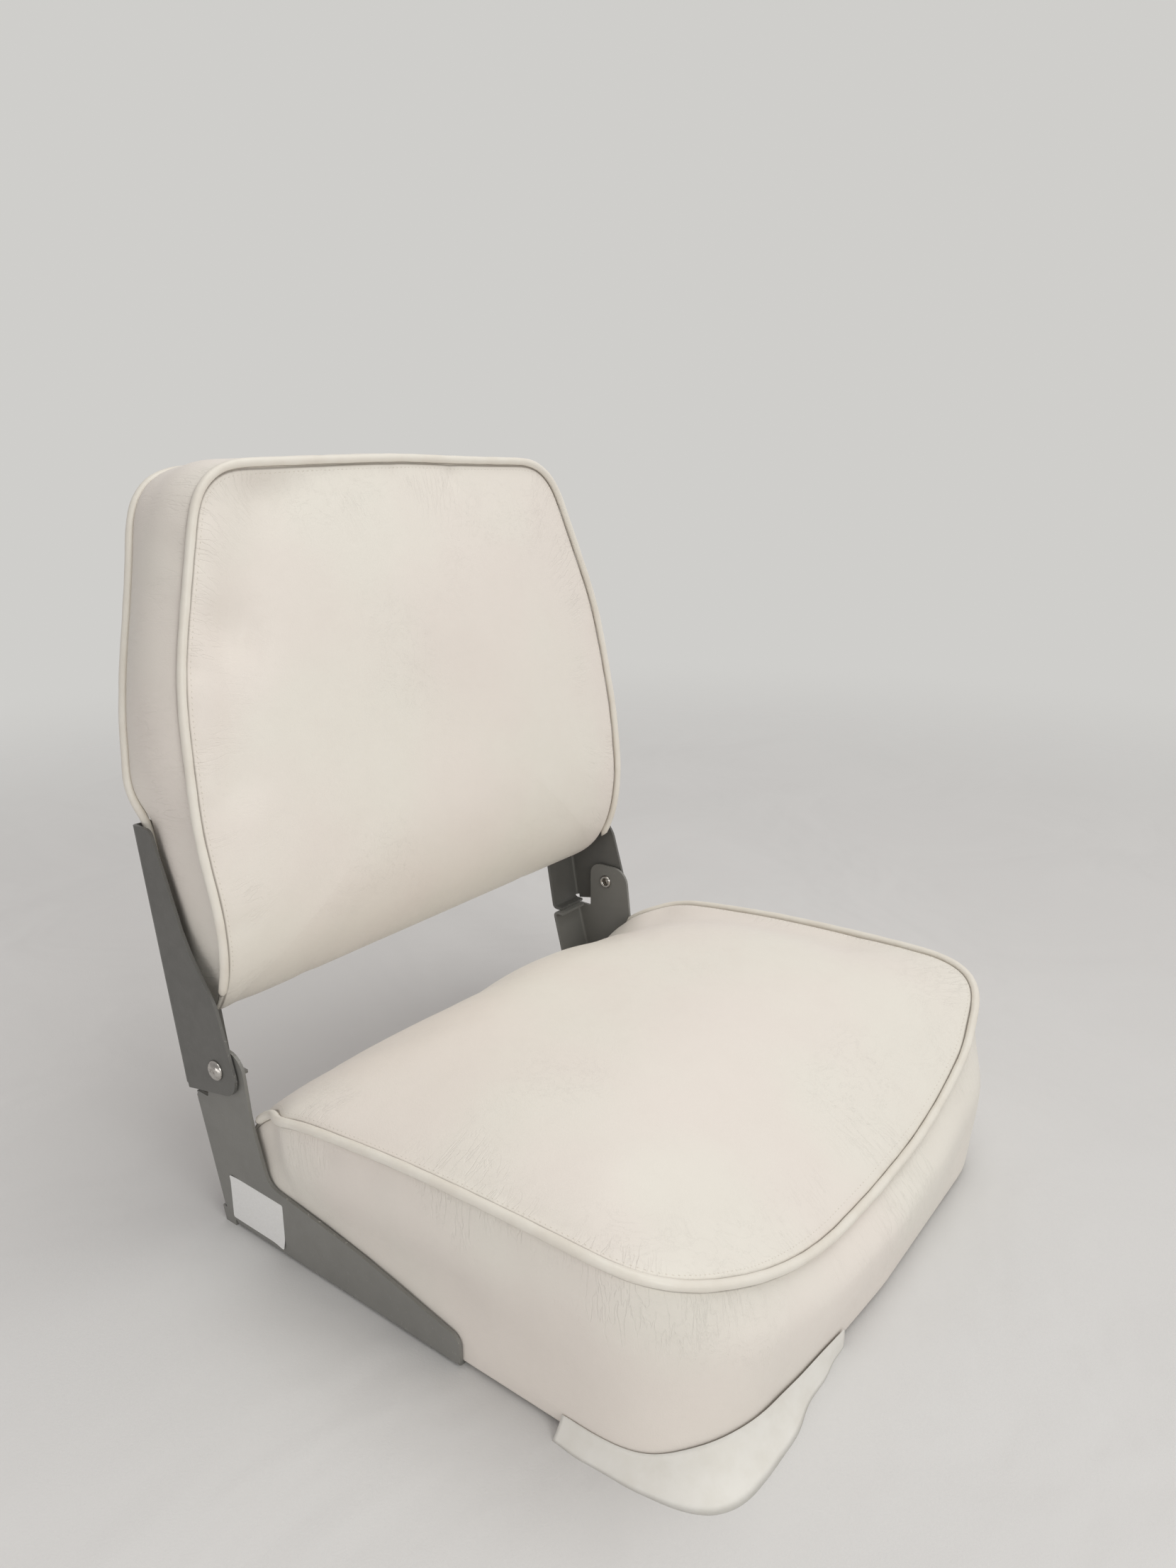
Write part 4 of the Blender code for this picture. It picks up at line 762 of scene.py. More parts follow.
class SeatCushion(Cushion):
    def __init__(self):
        half = SEAT_HALF_WIDTH
        corners = [
            (half, SEAT_REAR_Y, SEAT_REAR_ROUND), (half, SEAT_FRONT_Y, SEAT_FRONT_ROUND),
            (0, SEAT_FRONT_Y - SEAT_FRONT_BOW, SEAT_FRONT_ROUND),
            (-half, SEAT_FRONT_Y, SEAT_FRONT_ROUND), (-half, SEAT_REAR_Y, SEAT_REAR_ROUND),
        ]
        roll = (SEAT_REAR_Y - SEAT_ROLL, SEAT_ROLL)
        super().__init__(corners, roll, COVER_BOTTOM, SEAT_CROWN_Y, PAN_TOP, lambda row: row)

    def edge(self, normals):
        return mix(SEAT_EDGE, SEAT_EDGE_FRONT, smooth(-normals[:, 1]))

    def kept(self, plan, way):
        """The worn foam sags further forward than its seams do, most of all on the far side."""
        start = SAG_FROM - SAG_ASIDE * smooth((plan[:, 0] - 0.02) / 0.14)
        down = np.clip((plan[:, 1] - start) / (SEAT_REAR_Y - start), 0.0, 1.0)
        low = (1 - down ** ROLL_POWER) ** (1 / ROLL_POWER)
        blend = mix(SAG_NEAR_WAY, SAG_FAR_WAY, smooth(plan[:, 0] / 0.1))
        return mix(self.hold(plan[:, 1]), low, smooth(way / blend))

    def rise(self, plan):
        near = 1 - smooth(plan[:, 0] / 0.1)
        return CROWN_POWER + REAR_RISE * smooth((plan[:, 1] - 0.03) / 0.07) * near

    def seam_height(self, plan):
        along_side = through(SEAM_SIDE_Y, SEAM_SIDE_Z, np.clip(plan[:, 1], SEAM_SIDE_Y[0], SEAM_SIDE_Y[-1]))
        drop = through(SEAM_FRONT_X, SEAM_FRONT_DROP, np.abs(plan[:, 0]))
        return along_side - np.where(plan[:, 1] < 0, drop, 0.0)

    def bulge(self, plan, normals, share):
        free = 1 - smooth((plan[:, 1] - SEAT_TUCK_FROM) / SEAT_TUCK_REACH)
        side_out = SEAT_SIDE_BULGE * free - SEAT_TUCK * (1 - free)
        side_out = side_out * through(SIDE_SHARES, SIDE_BULGE_SHARES, share)
        front_out = SEAT_FRONT_BULGE * through(SIDE_SHARES, FRONT_BULGE_SHARES, share)
        front = smooth(-normals[:, 1])
        middle = 1 - smooth(np.abs(plan[:, 0]) / 0.12)
        set_back = SEAM_FRONT_IN + SEAM_MIDDLE_IN * middle + SEAT_FRONT_BULGE * FRONT_BULGE_SHARES[-1]
        later = (SEAT_SIDE_BULGE + set_back) * (front - front ** 3)
        shift = (later - set_back * front) * smooth((share - 0.6) / 0.4)
        return mix(side_out, front_out, front) + shift

    def hidden(self):
        """Rows under the base: inside the wall over the tray, then round the lap to the bottom edge."""
        wall = VINYL + 0.006 * (1 - self.holds)
        over = self.ring(wall + 0.003, PAN_TOP)
        middle = np.array((*self.middle, self.floor))
        rows = [mix(middle, over, 0.3), mix(middle, over, 0.7), over, self.ring(wall, PAN_TOP - 0.002)]
        rows += [self.ring(inset, COVER_BOTTOM + VINYL) for inset in (VINYL + self.edges, SEAT_LAP)]
        rows += [self.ring(SEAT_LAP, COVER_BOTTOM)]
        for turn in np.linspace(0, math.pi / 2, 5)[:-1]:
            row = self.ring(self.edges * (1 - math.sin(turn)), COVER_BOTTOM)
            row[:, 2] += self.edges * (1 - math.cos(turn))
            rows.append(row)
        return rows


def build_seat(finishes):
    cushion = SeatCushion()
    skin, first_row = cushion.skin(SEAT_CROWN_Z)
    shell, _ = cushion.skin(SEAT_SLACK_Z)
    seam = shell.seam()[cushion.holds > SEAT_WELT_END]
    tree = solved("seat_shell", shell, [shell.rows[first_row], seam])
    behind = smooth((skin.rows[:, :, 1] - SEAT_FIXED_Y) / 0.03)
    laid_on(skin, tree, SEAT_FREEDOM * freedom_of(skin, first_row, behind * beside_brackets(skin)))
    relaxed(skin, SEAT_RELAX)
    dented(skin, SEAT_DENTS)
    corner = skin.seam().copy()
    creased(skin, [skin.seam_row], CREASE)
    puckered(skin, *SEAT_PUCKERS)
    piece = shown(skin.mesh("seat_cushion"), finishes["vinyl"], "seat")
    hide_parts("seat_top_panel", "seat_boxing", "seat_foam")

    sewn = cushion.sewn(SEAT_WELT_END)
    out = np.column_stack([cushion.normals, np.ones(len(cushion.normals))])[sewn]
    line = softened_open(corner[sewn] + unit(out) * (WELT_OUT - SWELL * math.sqrt(2)), 3)
    welt = tube("seat_welt_cord", line, out, finishes["piping"], "seat")
    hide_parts("seat_welt")
    stitches("seat_stitches", skin, sewn[STITCH_ENDS:-STITCH_ENDS], finishes["thread"], "seat")
    return cushion


# Back

class BackCushion(Cushion):
    def __init__(self):
        half = SEAT_WIDTH / 2
        right_side = [
            (half - BACK_FOOT_IN, -BACK_BOTTOM, BACK_FOOT_ROUND),
            (half - BACK_WIDEST_IN, -BACK_WIDEST, BACK_SIDE_ROUND),
            (half - BACK_BEND_IN, -BACK_BEND, BACK_SIDE_ROUND),
            (half - BACK_SHOULDER_IN, -BACK_TOP, BACK_SHOULDER_ROUND),
        ]
        left_side = [(-a, b, radius) for a, b, radius in reversed(right_side)]
        corners = [*right_side, (0, -BACK_TOP - BACK_BOW, BACK_TOP_ROUND), *left_side]
        roll = (-BACK_BOTTOM - BACK_ROLL, BACK_ROLL)
        middle = -(BACK_BOTTOM + BACK_TOP) / 2
        super().__init__(corners, roll, 0.0, middle, -BACK_REAR_CROWN - BACK_REAR_SINK, back_place)

    def seam_height(self, plan):
        return np.full(len(plan), BACK_DEPTH)

    def bulge(self, plan, normals, share):
        free = smooth((-plan[:, 1] - BACK_BULGE_FROM) / BACK_BULGE_REACH)
        belly = BACK_BULGE * free * 4 * share * (1 - share)
        return belly - back_inset(plan) * (1 - smooth(share / SIDE_SHARES[1]))

    def swollen(self, share):
        return abs(2 * share - 1) ** 2

    def hidden(self):
        """Rows over the rear panel, from its middle to the rear seam."""
        rim = back_inset(self.plan)
        field = rim + BACK_REAR_ROLL
        edge = self.ring(field, -BACK_REAR_CROWN)
        middle = np.array((*self.middle, self.floor))
        rows = [mix(middle, edge, share) for share in (0.15, 0.35, 0.55, 0.75, 0.90)]
        for share in (1.0, 0.8, 0.6, 0.4, 0.2):
            rows.append(self.ring(mix(rim, field, share), -BACK_REAR_CROWN * math.sin(share * math.pi / 2)))
        return rows


def back_inset(plan):
    """How far the rear seam lies inside the front one: most between the brackets, less than 0 above."""
    return through(REAR_SEAM_UP, REAR_SEAM_IN, np.clip(-plan[:, 1], REAR_SEAM_UP[0], REAR_SEAM_UP[-1]))


def back_place(row):
    """From the cushion's own frame to the part's: rear seam plane behind the hinge, heights up it."""
    turn = Matrix.Rotation(-BACK_RAKE, 3, "X")
    skew = BACK_SKEW * smooth((0.10 - row[:, 0]) / 0.30) * smooth((-row[:, 1] - 0.22) / 0.12)
    own = np.column_stack([row[:, 0], BACK_REAR - row[:, 2], skew - row[:, 1]])
    return own @ np.array(turn).T + np.array((0, HINGE_Y, HINGE_Z))


def build_back(finishes):
    cushion = BackCushion()
    skin, first_row = cushion.skin(BACK_DEPTH + BACK_CROWN)
    shell, _ = cushion.skin(BACK_DEPTH + BACK_CROWN * BACK_SLACK)
    seam = shell.seam()[cushion.holds > BACK_WELT_END]
    tree = solved("back_shell", shell, [shell.rows[first_row], seam, *shell.rows[:first_row]])
    low = 1 - smooth((skin.rows[:, :, 2] - BACK_FIXED_Z) / 0.03)
    laid_on(skin, tree, BACK_FREEDOM * freedom_of(skin, first_row, low * beside_brackets(skin)))
    relaxed(skin, BACK_RELAX)
    dented(skin, BACK_DENTS)
    corners = skin.rows.copy()
    creased(skin, [skin.seam_row, first_row], CREASE * 0.8)
    puckered(skin, *BACK_PUCKERS)
    puckered(skin, *NEAR_PUCKERS, 1 - smooth((skin.rows[:, :, 0] - NEAR_PUCKERS_X) / 0.040))
    piece = shown(skin.mesh("back_cushion"), finishes["vinyl"], "back")
    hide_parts("back_front_panel", "back_boxing", "back_rear_panel", "back_foam")

    sewn = cushion.sewn(BACK_WELT_END)
    origin = cushion.place(np.zeros((1, 3)))
    for name, row, lift, node in (("back_front_cord", skin.seam_row, 1.0, "back_front_welt"),
                                  ("back_rear_cord", first_row, -REAR_WELT_SHARE, "back_rear_welt")):
        facing = np.column_stack([cushion.normals, np.full(len(cushion.normals), lift)])
        out = (cushion.place(facing) - origin)[sewn]
        line = corners[row][sewn] + unit(out) * (WELT_OUT - SWELL)
        cord = tube(name, softened_open(line, 3), out, finishes["piping"], "back")
        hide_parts(node)
    stitches("back_stitches", skin, sewn[STITCH_ENDS:-STITCH_ENDS], finishes["thread"], "back")


# Materials

class Graph:
    """A node tree under construction. An input takes another node's output or a plain value."""

    def __init__(self, owner):
        owner.use_nodes = True
        self.owner = owner
        self.nodes = owner.node_tree.nodes
        self.links = owner.node_tree.links
        self.at = self.node("ShaderNodeTexCoord").outputs

    def node(self, kind, inputs=(), **settings):
        made = self.nodes.new(kind)
        for key, value in settings.items():
            setattr(made, key, value)
        for key, value in dict(inputs).items():
            self.feed(made.inputs[key], value)
        return made

    def feed(self, socket, value):
        if isinstance(value, bpy.types.NodeSocket):
            self.links.new(value, socket)
        else:
            socket.default_value = (*value, 1.0) if socket.type == "RGBA" else value

    def math(self, operation, a, b=0.0):
        return self.node("ShaderNodeMath", {0: a, 1: b}, operation=operation).outputs[0]

    def times(self, a, b):
        return self.math("MULTIPLY", a, b)

    def off(self, value, middle=0.0):
        """How far a value is from a middle one."""
        return self.math("ABSOLUTE", self.math("SUBTRACT", value, middle))

    def noise(self, scale, detail=2.0, roughness=0.5, distortion=0.0, stretch=None, over="Object"):
        place = self.at[over]
        if stretch is not None:
            place = self.node("ShaderNodeMapping", {"Vector": place, "Scale": stretch}).outputs[0]
        inputs = {"Vector": place, "Scale": scale, "Detail": detail}
        inputs.update({"Roughness": roughness, "Distortion": distortion})
        return self.node("ShaderNodeTexNoise", inputs).outputs["Fac"]

    def ranged(self, value, low, high, to_low=0.0, to_high=1.0, kind="SMOOTHSTEP"):
        inputs = {"Value": value, "From Min": low, "From Max": high, "To Min": to_low, "To Max": to_high}
        return self.node("ShaderNodeMapRange", inputs, interpolation_type=kind).outputs["Result"]

    def blend(self, share, a, b):
        return self.node("ShaderNodeMix", {"Factor": share, 6: a, 7: b}, data_type="RGBA").outputs[2]

    def tint(self, value, low, high, a, b):
        return self.blend(self.ranged(value, low, high), a, b)

    def parts(self, vector):
        return self.node("ShaderNodeSeparateXYZ", {0: vector}).outputs

    def bump(self, height, distance, strength, under=None):
        inputs = {"Height": height, "Distance": distance, "Strength": strength}
        if under is not None:
            inputs["Normal"] = under
        return self.node("ShaderNodeBump", inputs).outputs["Normal"]

    def bumps(self, grains, normal=None):
        """Bumps laid one on another, each from a noise, its height and its strength."""
        for noise, height, strength in grains:
            normal = self.bump(self.noise(*noise), height, strength, normal)
        return normal

    def gloss(self, noise, low, high):
        return self.ranged(self.noise(*noise), 0.3, 0.7, low, high)

    def done(self, colour, roughness, normal, **values):
        """Feed the surface shader, and give the material."""
        values.update({"Base Color": colour, "Roughness": roughness, "Normal": normal})
        for key, value in values.items():
            self.feed(self.nodes["Principled BSDF"].inputs[key.replace("_", " ")], value)
        return self.owner


def material(name):
    return Graph(bpy.data.materials.new(name))


def vinyl_finish():
    """Marine vinyl: fine pebble grain, soft creases off the seams, a web of wear lines, painted shade in the
    seam grooves.
    """
    g = material("marine_vinyl")
    from_seam = g.off(g.parts(g.at["UV"])[1])
    colour = g.tint(g.noise(7.0), 0.38, 0.62, (0.80, 0.745, 0.690), (0.80, 0.768, 0.702))
    soil = g.ranged(g.noise(55.0, 4.0, 0.6), 0.35, 0.75)
    colour = g.blend(g.times(soil, 0.10), colour, (0.72, 0.66, 0.60))
    # Painted shade: a thin dark line 2.4 mm to either side of the seam, where the groove beside the piping lies
    # in shade.
    painted_groove_shade = g.ranged(g.off(from_seam, 0.0024), 0.0, 0.0013, 1.0, 0.0)
    colour = g.blend(g.times(painted_groove_shade, 0.85), colour, (0.30, 0.27, 0.24))

    cells = g.node("ShaderNodeTexVoronoi", {"Vector": g.at["Object"], "Scale": 1150.0}).outputs["Distance"]
    pebble = g.math("ADD", cells, g.noise(620.0, 3.0, 0.6))
    close = g.ranged(from_seam, 0.006, 0.070, 1.0, 0.0)
    patch = g.ranged(g.noise(16.0), 0.42, 0.62)
    crosswise = g.noise(210.0, 2.0, 0.55, 0.4, (1.0, 0.17, 1.0), "UV")
    ridge = g.ranged(g.off(crosswise, 0.5), 0.0, 0.035, -1.0, 0.0)
    web = g.ranged(g.off(g.noise(62.0, 4.0, 0.65, 1.2), 0.5), 0.0, 0.012, -1.0, 0.0)
    sparse = g.ranged(g.noise(9.0, 1.0), 0.50, 0.66)

    normal = g.bump(g.noise(30.0, 3.0, 0.55), 0.0011, 0.55)
    normal = g.bump(g.times(ridge, g.times(close, patch)), 0.00035, 0.55, normal)
    normal = g.bump(g.times(web, sparse), 0.00018, 0.45, normal)
    normal = g.bump(pebble, 0.00009, 0.55, normal)
    return g.done(colour, g.gloss((240.0, 3.0), 0.40, 0.52), normal, Specular_IOR_Level=0.42, Sheen_Weight=0.06)


def paint_finish(name, shade):
    """Satin grey paint on sheet steel: orange peel, rubbed edges, small nicks to bright metal."""
    g = material(name)
    # A shade below 1 gives a darker copy of this paint: painted shade, used for the upper brackets.
    dark, light = (tuple(part * shade for part in grey) for grey in PAINT_GREYS)
    colour = g.tint(g.noise(22.0, 3.0, 0.6), 0.3, 0.7, dark, light)
    worn = g.ranged(g.node("ShaderNodeNewGeometry").outputs["Pointiness"], 0.515, 0.60)
    chips = g.ranged(g.noise(420.0, 4.0, 0.7), 0.60, 0.66)
    scuffs = g.noise(260.0, 3.0, 0.6, 0.5, (1.0, 0.25, 1.0))
    rubbed = g.math("MAXIMUM", g.times(worn, chips), g.ranged(scuffs, 0.75, 0.80, 0.0, 0.50))
    colour = g.blend(rubbed, colour, (0.46, 0.45, 0.42))
    normal = g.bump(g.times(rubbed, -1.0), 0.00012, 0.6, g.bump(g.noise(520.0), 0.00016, 0.35))
    return g.done(colour, g.gloss((130.0, 3.0), 0.36, 0.47), normal, Specular_IOR_Level=0.5)


def nylon_finish():
    g = material("black_nylon")
    stain = g.noise(500.0, 3.0)
    colour = g.blend(stain, (0.045, 0.045, 0.045), (0.070, 0.070, 0.068))
    return g.done(colour, 0.5, g.bump(stain, 0.00008, 0.4))


def plain_finish(name, cloud, span, colours, grains, rough, **values):
    """Two colours mixed by a noise within a span, under bumps. Rough is a number or what gloss takes."""
    g = material(name)
    colour = g.tint(g.noise(*cloud), *span, *colours)
    roughness = g.gloss(*rough) if isinstance(rough, tuple) else rough
    return g.done(colour, roughness, g.bumps(grains), **values)


def metal_finish(name, colours, low, high):
    brushed = ((1900.0, 2.0, 0.5, 0.0, (1.0, 0.2, 0.2)), 0.00005, 0.5)
    rough = ((700.0,), low, high)
    return plain_finish(name, (330.0, 4.0, 0.65), (0.45, 0.75), colours, [brushed], rough, Metallic=1.0)


def all_finishes():
    fine = ((900.0,), 0.00008, 0.5)
    twist = (1600.0, 1.0, 0.5, 0.0, (1.0, 3.0, 1.0))
    flow = (90.0, 3.0, 0.5, 0.0, (0.3, 1.0, 1.0))
    spark = (1500.0, 2.0, 0.6)
    fibre = (800.0, 4.0, 0.6)
    return {
        "vinyl": vinyl_finish(),
        "piping": plain_finish(
            "piping_vinyl", (40.0, 3.0, 0.6), (0.35, 0.7), ((0.80, 0.765, 0.695), (0.76, 0.715, 0.640)),
            [((150.0, 3.0, 0.6), 0.0006, 0.4), fine], 0.40, Specular_IOR_Level=0.45),
        "thread": plain_finish(
            "polyester_thread", twist, (0.3, 0.7), ((0.66, 0.61, 0.54), (0.80, 0.76, 0.69)),
            [(twist, 0.0001, 0.5)], 0.6, Sheen_Weight=0.2),
        "hem": plain_finish(
            "hem_vinyl", (60.0, 3.0, 0.6), (0.3, 0.7), ((0.79, 0.775, 0.735), (0.74, 0.72, 0.67)),
            [((38.0, 3.0), 0.0009, 0.5), fine], 0.48, Specular_IOR_Level=0.4),
        "plastic": plain_finish(
            "moulded_plastic", (26.0, 3.0, 0.6), (0.3, 0.7), ((0.024, 0.024, 0.025), (0.036, 0.036, 0.038)),
            [(flow, 0.0003, 0.25), (spark, 0.00010, 0.5)], (spark, 0.46, 0.60)),
        "label": plain_finish(
            "label_paper", fibre, (0.3, 0.7), ((0.83, 0.83, 0.825), (0.79, 0.79, 0.78)),
            [((120.0,), 0.0003, 0.3), (fibre, 0.00003, 0.5)], 0.42, Specular_IOR_Level=0.4),
        "paint": paint_finish("grey_paint", 1.0),
        # Painted shade: the same paint, darkened, for the upper brackets.
        "upper_paint_painted_shade": paint_finish("grey_paint_painted_shade_upper", UPPER_PAINTED_SHADE),
        "nylon": nylon_finish(),
        "steel": metal_finish("rivet_steel", ((0.56, 0.54, 0.51), (0.30, 0.28, 0.26)), 0.16, 0.30),
        "zinc": metal_finish("zinc_plate", ((0.60, 0.61, 0.63), (0.42, 0.42, 0.42)), 0.28, 0.42),
    }


# Stage

def build_floor():
    """White cloth floor that fades into the backdrop's grey away from the object."""
    g = material("floor_cloth")
    folds = g.noise(5.0, 3.0, 0.5, 0.6)
    normal = g.bump(g.noise(700.0, 2.0, 0.6), 0.0004, 0.35, g.bump(folds, 0.030, 0.35))
    colour = g.blend(folds, (0.71, 0.705, 0.70), (0.66, 0.655, 0.65))
    g.done(colour, 0.9, normal, Specular_IOR_Level=0.1)
    x, y, _ = g.parts(g.at["Object"])
    fade = g.ranged(g.math("SQRT", g.math("ADD", g.times(x, x), g.times(y, y))), *FLOOR_FADE)
    cloth = g.nodes["Principled BSDF"].outputs[0]
    clear = g.node("ShaderNodeBsdfTransparent").outputs[0]
    seen = g.node("ShaderNodeMixShader", {"Fac": fade, 1: cloth, 2: clear}).outputs[0]
    g.feed(g.nodes["Material Output"].inputs["Surface"], seen)
    bpy.ops.mesh.primitive_circle_add(vertices=96, radius=FLOOR_RADIUS, fill_type="NGON", location=(0, 0, 0))
    floor = bpy.context.active_object
    floor.name = "floor"
    floor.data.materials.append(g.owner)


def build_world():
    """Soft light, dimmer from the near side, and a plain pale grey where the camera looks past the floor."""
    world = bpy.data.worlds.new("studio")
    bpy.context.scene.world = world
    world.use_nodes = True
    world.node_tree.nodes.clear()
    g = Graph(world)
    strength = g.ranged(g.parts(g.at["Generated"])["X"], -1.0, 0.6, 0.30, 0.72, "LINEAR")
    lit = g.node("ShaderNodeBackground", {"Color": WORLD_LIGHT, "Strength": strength}).outputs[0]
    plain = g.node("ShaderNodeBackground", {"Color": BACKDROP, "Strength": 1.0}).outputs[0]
    path = g.node("ShaderNodeLightPath").outputs
    straight = g.math("MAXIMUM", path["Is Camera Ray"], path["Is Transmission Ray"])
    choose = g.node("ShaderNodeMixShader", {"Fac": straight, 1: lit, 2: plain}).outputs[0]
    g.node("ShaderNodeOutputWorld", {"Surface": choose})


def build_lights():
    for name, place, target, size, power, colour in LAMPS:
        data = bpy.data.lights.new(name, "AREA")
        data.shape = "RECTANGLE"
        data.size, data.size_y = size
        data.energy = power
        data.color = colour
        lamp = linked(bpy.data.objects.new(name, data))
        lamp.location = place
        lamp.rotation_euler = (Vector(target) - Vector(place)).to_track_quat("-Z", "Y").to_euler()


def build_camera():
    ahead = Vector((math.sin(CAMERA_AZIMUTH) * math.cos(CAMERA_DOWN),
                    math.cos(CAMERA_AZIMUTH) * math.cos(CAMERA_DOWN), -math.sin(CAMERA_DOWN)))
    right = Vector((math.cos(CAMERA_AZIMUTH), -math.sin(CAMERA_AZIMUTH), 0))
    up = right.cross(ahead)
    turned_right = right * math.cos(CAMERA_ROLL) + up * math.sin(CAMERA_ROLL)
    turned_up = up * math.cos(CAMERA_ROLL) - right * math.sin(CAMERA_ROLL)
    data = bpy.data.cameras.new("photo_view")
    data.lens = CAMERA_LENS
    data.sensor_width = SENSOR
    data.clip_start = 0.01
    camera = linked(bpy.data.objects.new("photo_view", data))
    turn = Matrix((turned_right, turned_up, -ahead)).transposed()
    camera.matrix_world = Matrix.Translation(CAMERA_PLACE) @ turn.to_4x4()
    bpy.context.scene.camera = camera


# Hardware

def lathe(name, profile, sides, finish, body, places, ring=False):
    """A profile of (radius, height) turned round each place, all in one piece, sharp at its edges."""
    points, faces = [], []
    for place in places:
        faces += bands(len(points), len(profile), sides, ring)
        for radius, height in profile:
            for angle in np.arange(sides) * math.tau / sides:
                points.append(place @ Vector((radius * math.cos(angle), radius * math.sin(angle), height)))
    return shown(built(name, points, faces), finish, body, sharp=32)


def quarter(steps, power=1.0, height_power=1.0):
    """Sines and cosines of a quarter turn in steps, from the one after 0."""
    turns = [math.pi / 2 * k / steps for k in range(1, steps + 1)]
    return [(math.sin(turn) ** power, max(math.cos(turn), 0.0) ** height_power) for turn in turns]


def crossed(piece, radius, level, places):
    """Press a cross recess into the heads of turned screws, up to the level of their rim."""
    for vertex in piece.data.vertices:
        for place in places:
            own = place.inverted() @ vertex.co
            if math.hypot(own.x, own.y) > radius or own.z > level:
                continue
            across, along = sorted((abs(own.x), abs(own.y)))
            taper = CROSS_WIDTH * (1.25 - 0.5 * along / radius)
            share = float(smooth((taper - across) / 0.0002) * smooth((radius - along) / 0.0004))
            vertex.co += (place.to_3x3() @ Vector((0, 0, CROSS_DEPTH))) * share


def build_rivets(finishes):
    """Domed heads outside, rolled ends inside, each with the dent of its tool."""
    out = SEAT_WIDTH / 2 + FIT
    end = LOWER_INNER_X - FIT
    roll = (RIVET_ROLL_RADIUS - RIVET_BORE_RADIUS) / 2
    floor = end - RIVET_ROLL_HEIGHT + RIVET_BORE_DEPTH
    profile = [(TINY, out + RIVET_HEAD_HEIGHT)]
    profile += [(RIVET_HEAD_RADIUS * a, out + RIVET_HEAD_HEIGHT * b) for a, b in quarter(12)]
    profile += [(RIVET_RADIUS, out), (RIVET_RADIUS, end)]
    for k in range(9):
        angle = math.pi * k / 8
        radius = RIVET_BORE_RADIUS + roll + roll * math.cos(angle)
        profile.append((radius, end - RIVET_ROLL_HEIGHT * math.sin(angle)))
    profile += [(RIVET_BORE_RADIUS, floor), (TINY, floor + 0.0006)]
    near, far = LOWER_OUTER_X + FIT, LOWER_OUTER_X + FIT + WASHER_THICKNESS
    inner = RIVET_RADIUS + FIT
    ring = [(WASHER_RADIUS, near), (WASHER_RADIUS, far), (inner, far), (inner, near)]
    for side_name, side in (("left", 1), ("right", -1)):
        place = Matrix.Translation((0, HINGE_Y, HINGE_Z)) @ Matrix.Rotation(side * math.pi / 2, 4, "Y")
        rivet = lathe(f"rivet_{side_name}", profile, LATHE_SIDES, finishes["steel"], "seat", [place])
        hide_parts(f"hinge_rivet_{side_name}")
        washer = lathe(f"washer_{side_name}", ring, LATHE_SIDES, finishes["nylon"], "seat", [place], True)
        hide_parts(f"hinge_washer_{side_name}")


def shank(top):
    """Threaded shank of a screw as (radius, height), from under its head to the point."""
    line = []
    count = 2 * int(SCREW_LENGTH / SCREW_PITCH)
    for k in range(count):
        radius = SCREW_RADIUS * (0.80 if k % 2 else 1.0) * min(1.0, 0.25 + (count - k) / 5)
        line.append((radius, top + SCREW_LENGTH * k / count))
    return line + [(TINY, top + SCREW_LENGTH)]


def numbered(stem):
    return [f"{stem}_{side}_{number}" for side in ("left", "right") for number in (1, 2, 3)]


def build_screws(finishes):
    """Pan-head screws through the upper flanges, and countersunk ones through the lower."""
    low = -FIT - PAN_HEAD_HEIGHT
    head = [(TINY, low)] + [(PAN_HEAD_RADIUS * k / 24, low) for k in range(1, 16)]
    head += [(PAN_HEAD_RADIUS * a, -FIT - PAN_HEAD_HEIGHT * b) for a, b in quarter(14, 0.8, 0.55)[8:]]
    stop_rear_y = LOWER_REAR_Y + STOP_Z * math.tan(LOWER_LEAN) + SHEET
    back_places, base_places = [], []
    for side in (1, -1):
        for turn, z in enumerate(UPPER_SCREWS_Z):
            y = stop_rear_y + (z - STOP_Z) * math.tan(UPPER_LEAN)
            spot = Matrix.Translation((side * (SEAT_WIDTH / 2 - SCREW_IN), y, z))
            lean = Matrix.Rotation(math.pi / 2 - UPPER_LEAN, 4, "X")
            back_places.append(spot @ lean @ Matrix.Rotation(0.7 * turn + side, 4, "Z"))
        for turn, y in enumerate(LOWER_SCREWS_Y):
            spot = Matrix.Translation((side * (LOWER_OUTER_X - SCREW_IN), y, 0))
            base_places.append(spot @ Matrix.Rotation(0.9 * turn + 2 * side, 4, "Z"))
    screws = lathe("back_screws", head + shank(-FIT), LATHE_SIDES, finishes["zinc"], "back", back_places)
    crossed(screws, 0.0024, 0.0, back_places)
    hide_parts(*numbered("back_screw"))

    flat = [(TINY, FIT)] + [(FLAT_HEAD_RADIUS * k / 24, FIT) for k in range(1, 24)]
    flat += [(FLAT_HEAD_RADIUS, FIT + 0.0002), (SCREW_RADIUS, FIT + FLAT_HEAD_HEIGHT)]
    flat += shank(FIT + FLAT_HEAD_HEIGHT)
    screws = lathe("base_screws", flat, LATHE_SIDES, finishes["zinc"], "seat", base_places)
    crossed(screws, 0.0026, 2 * FIT, base_places)
    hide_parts(*numbered("base_screw"))


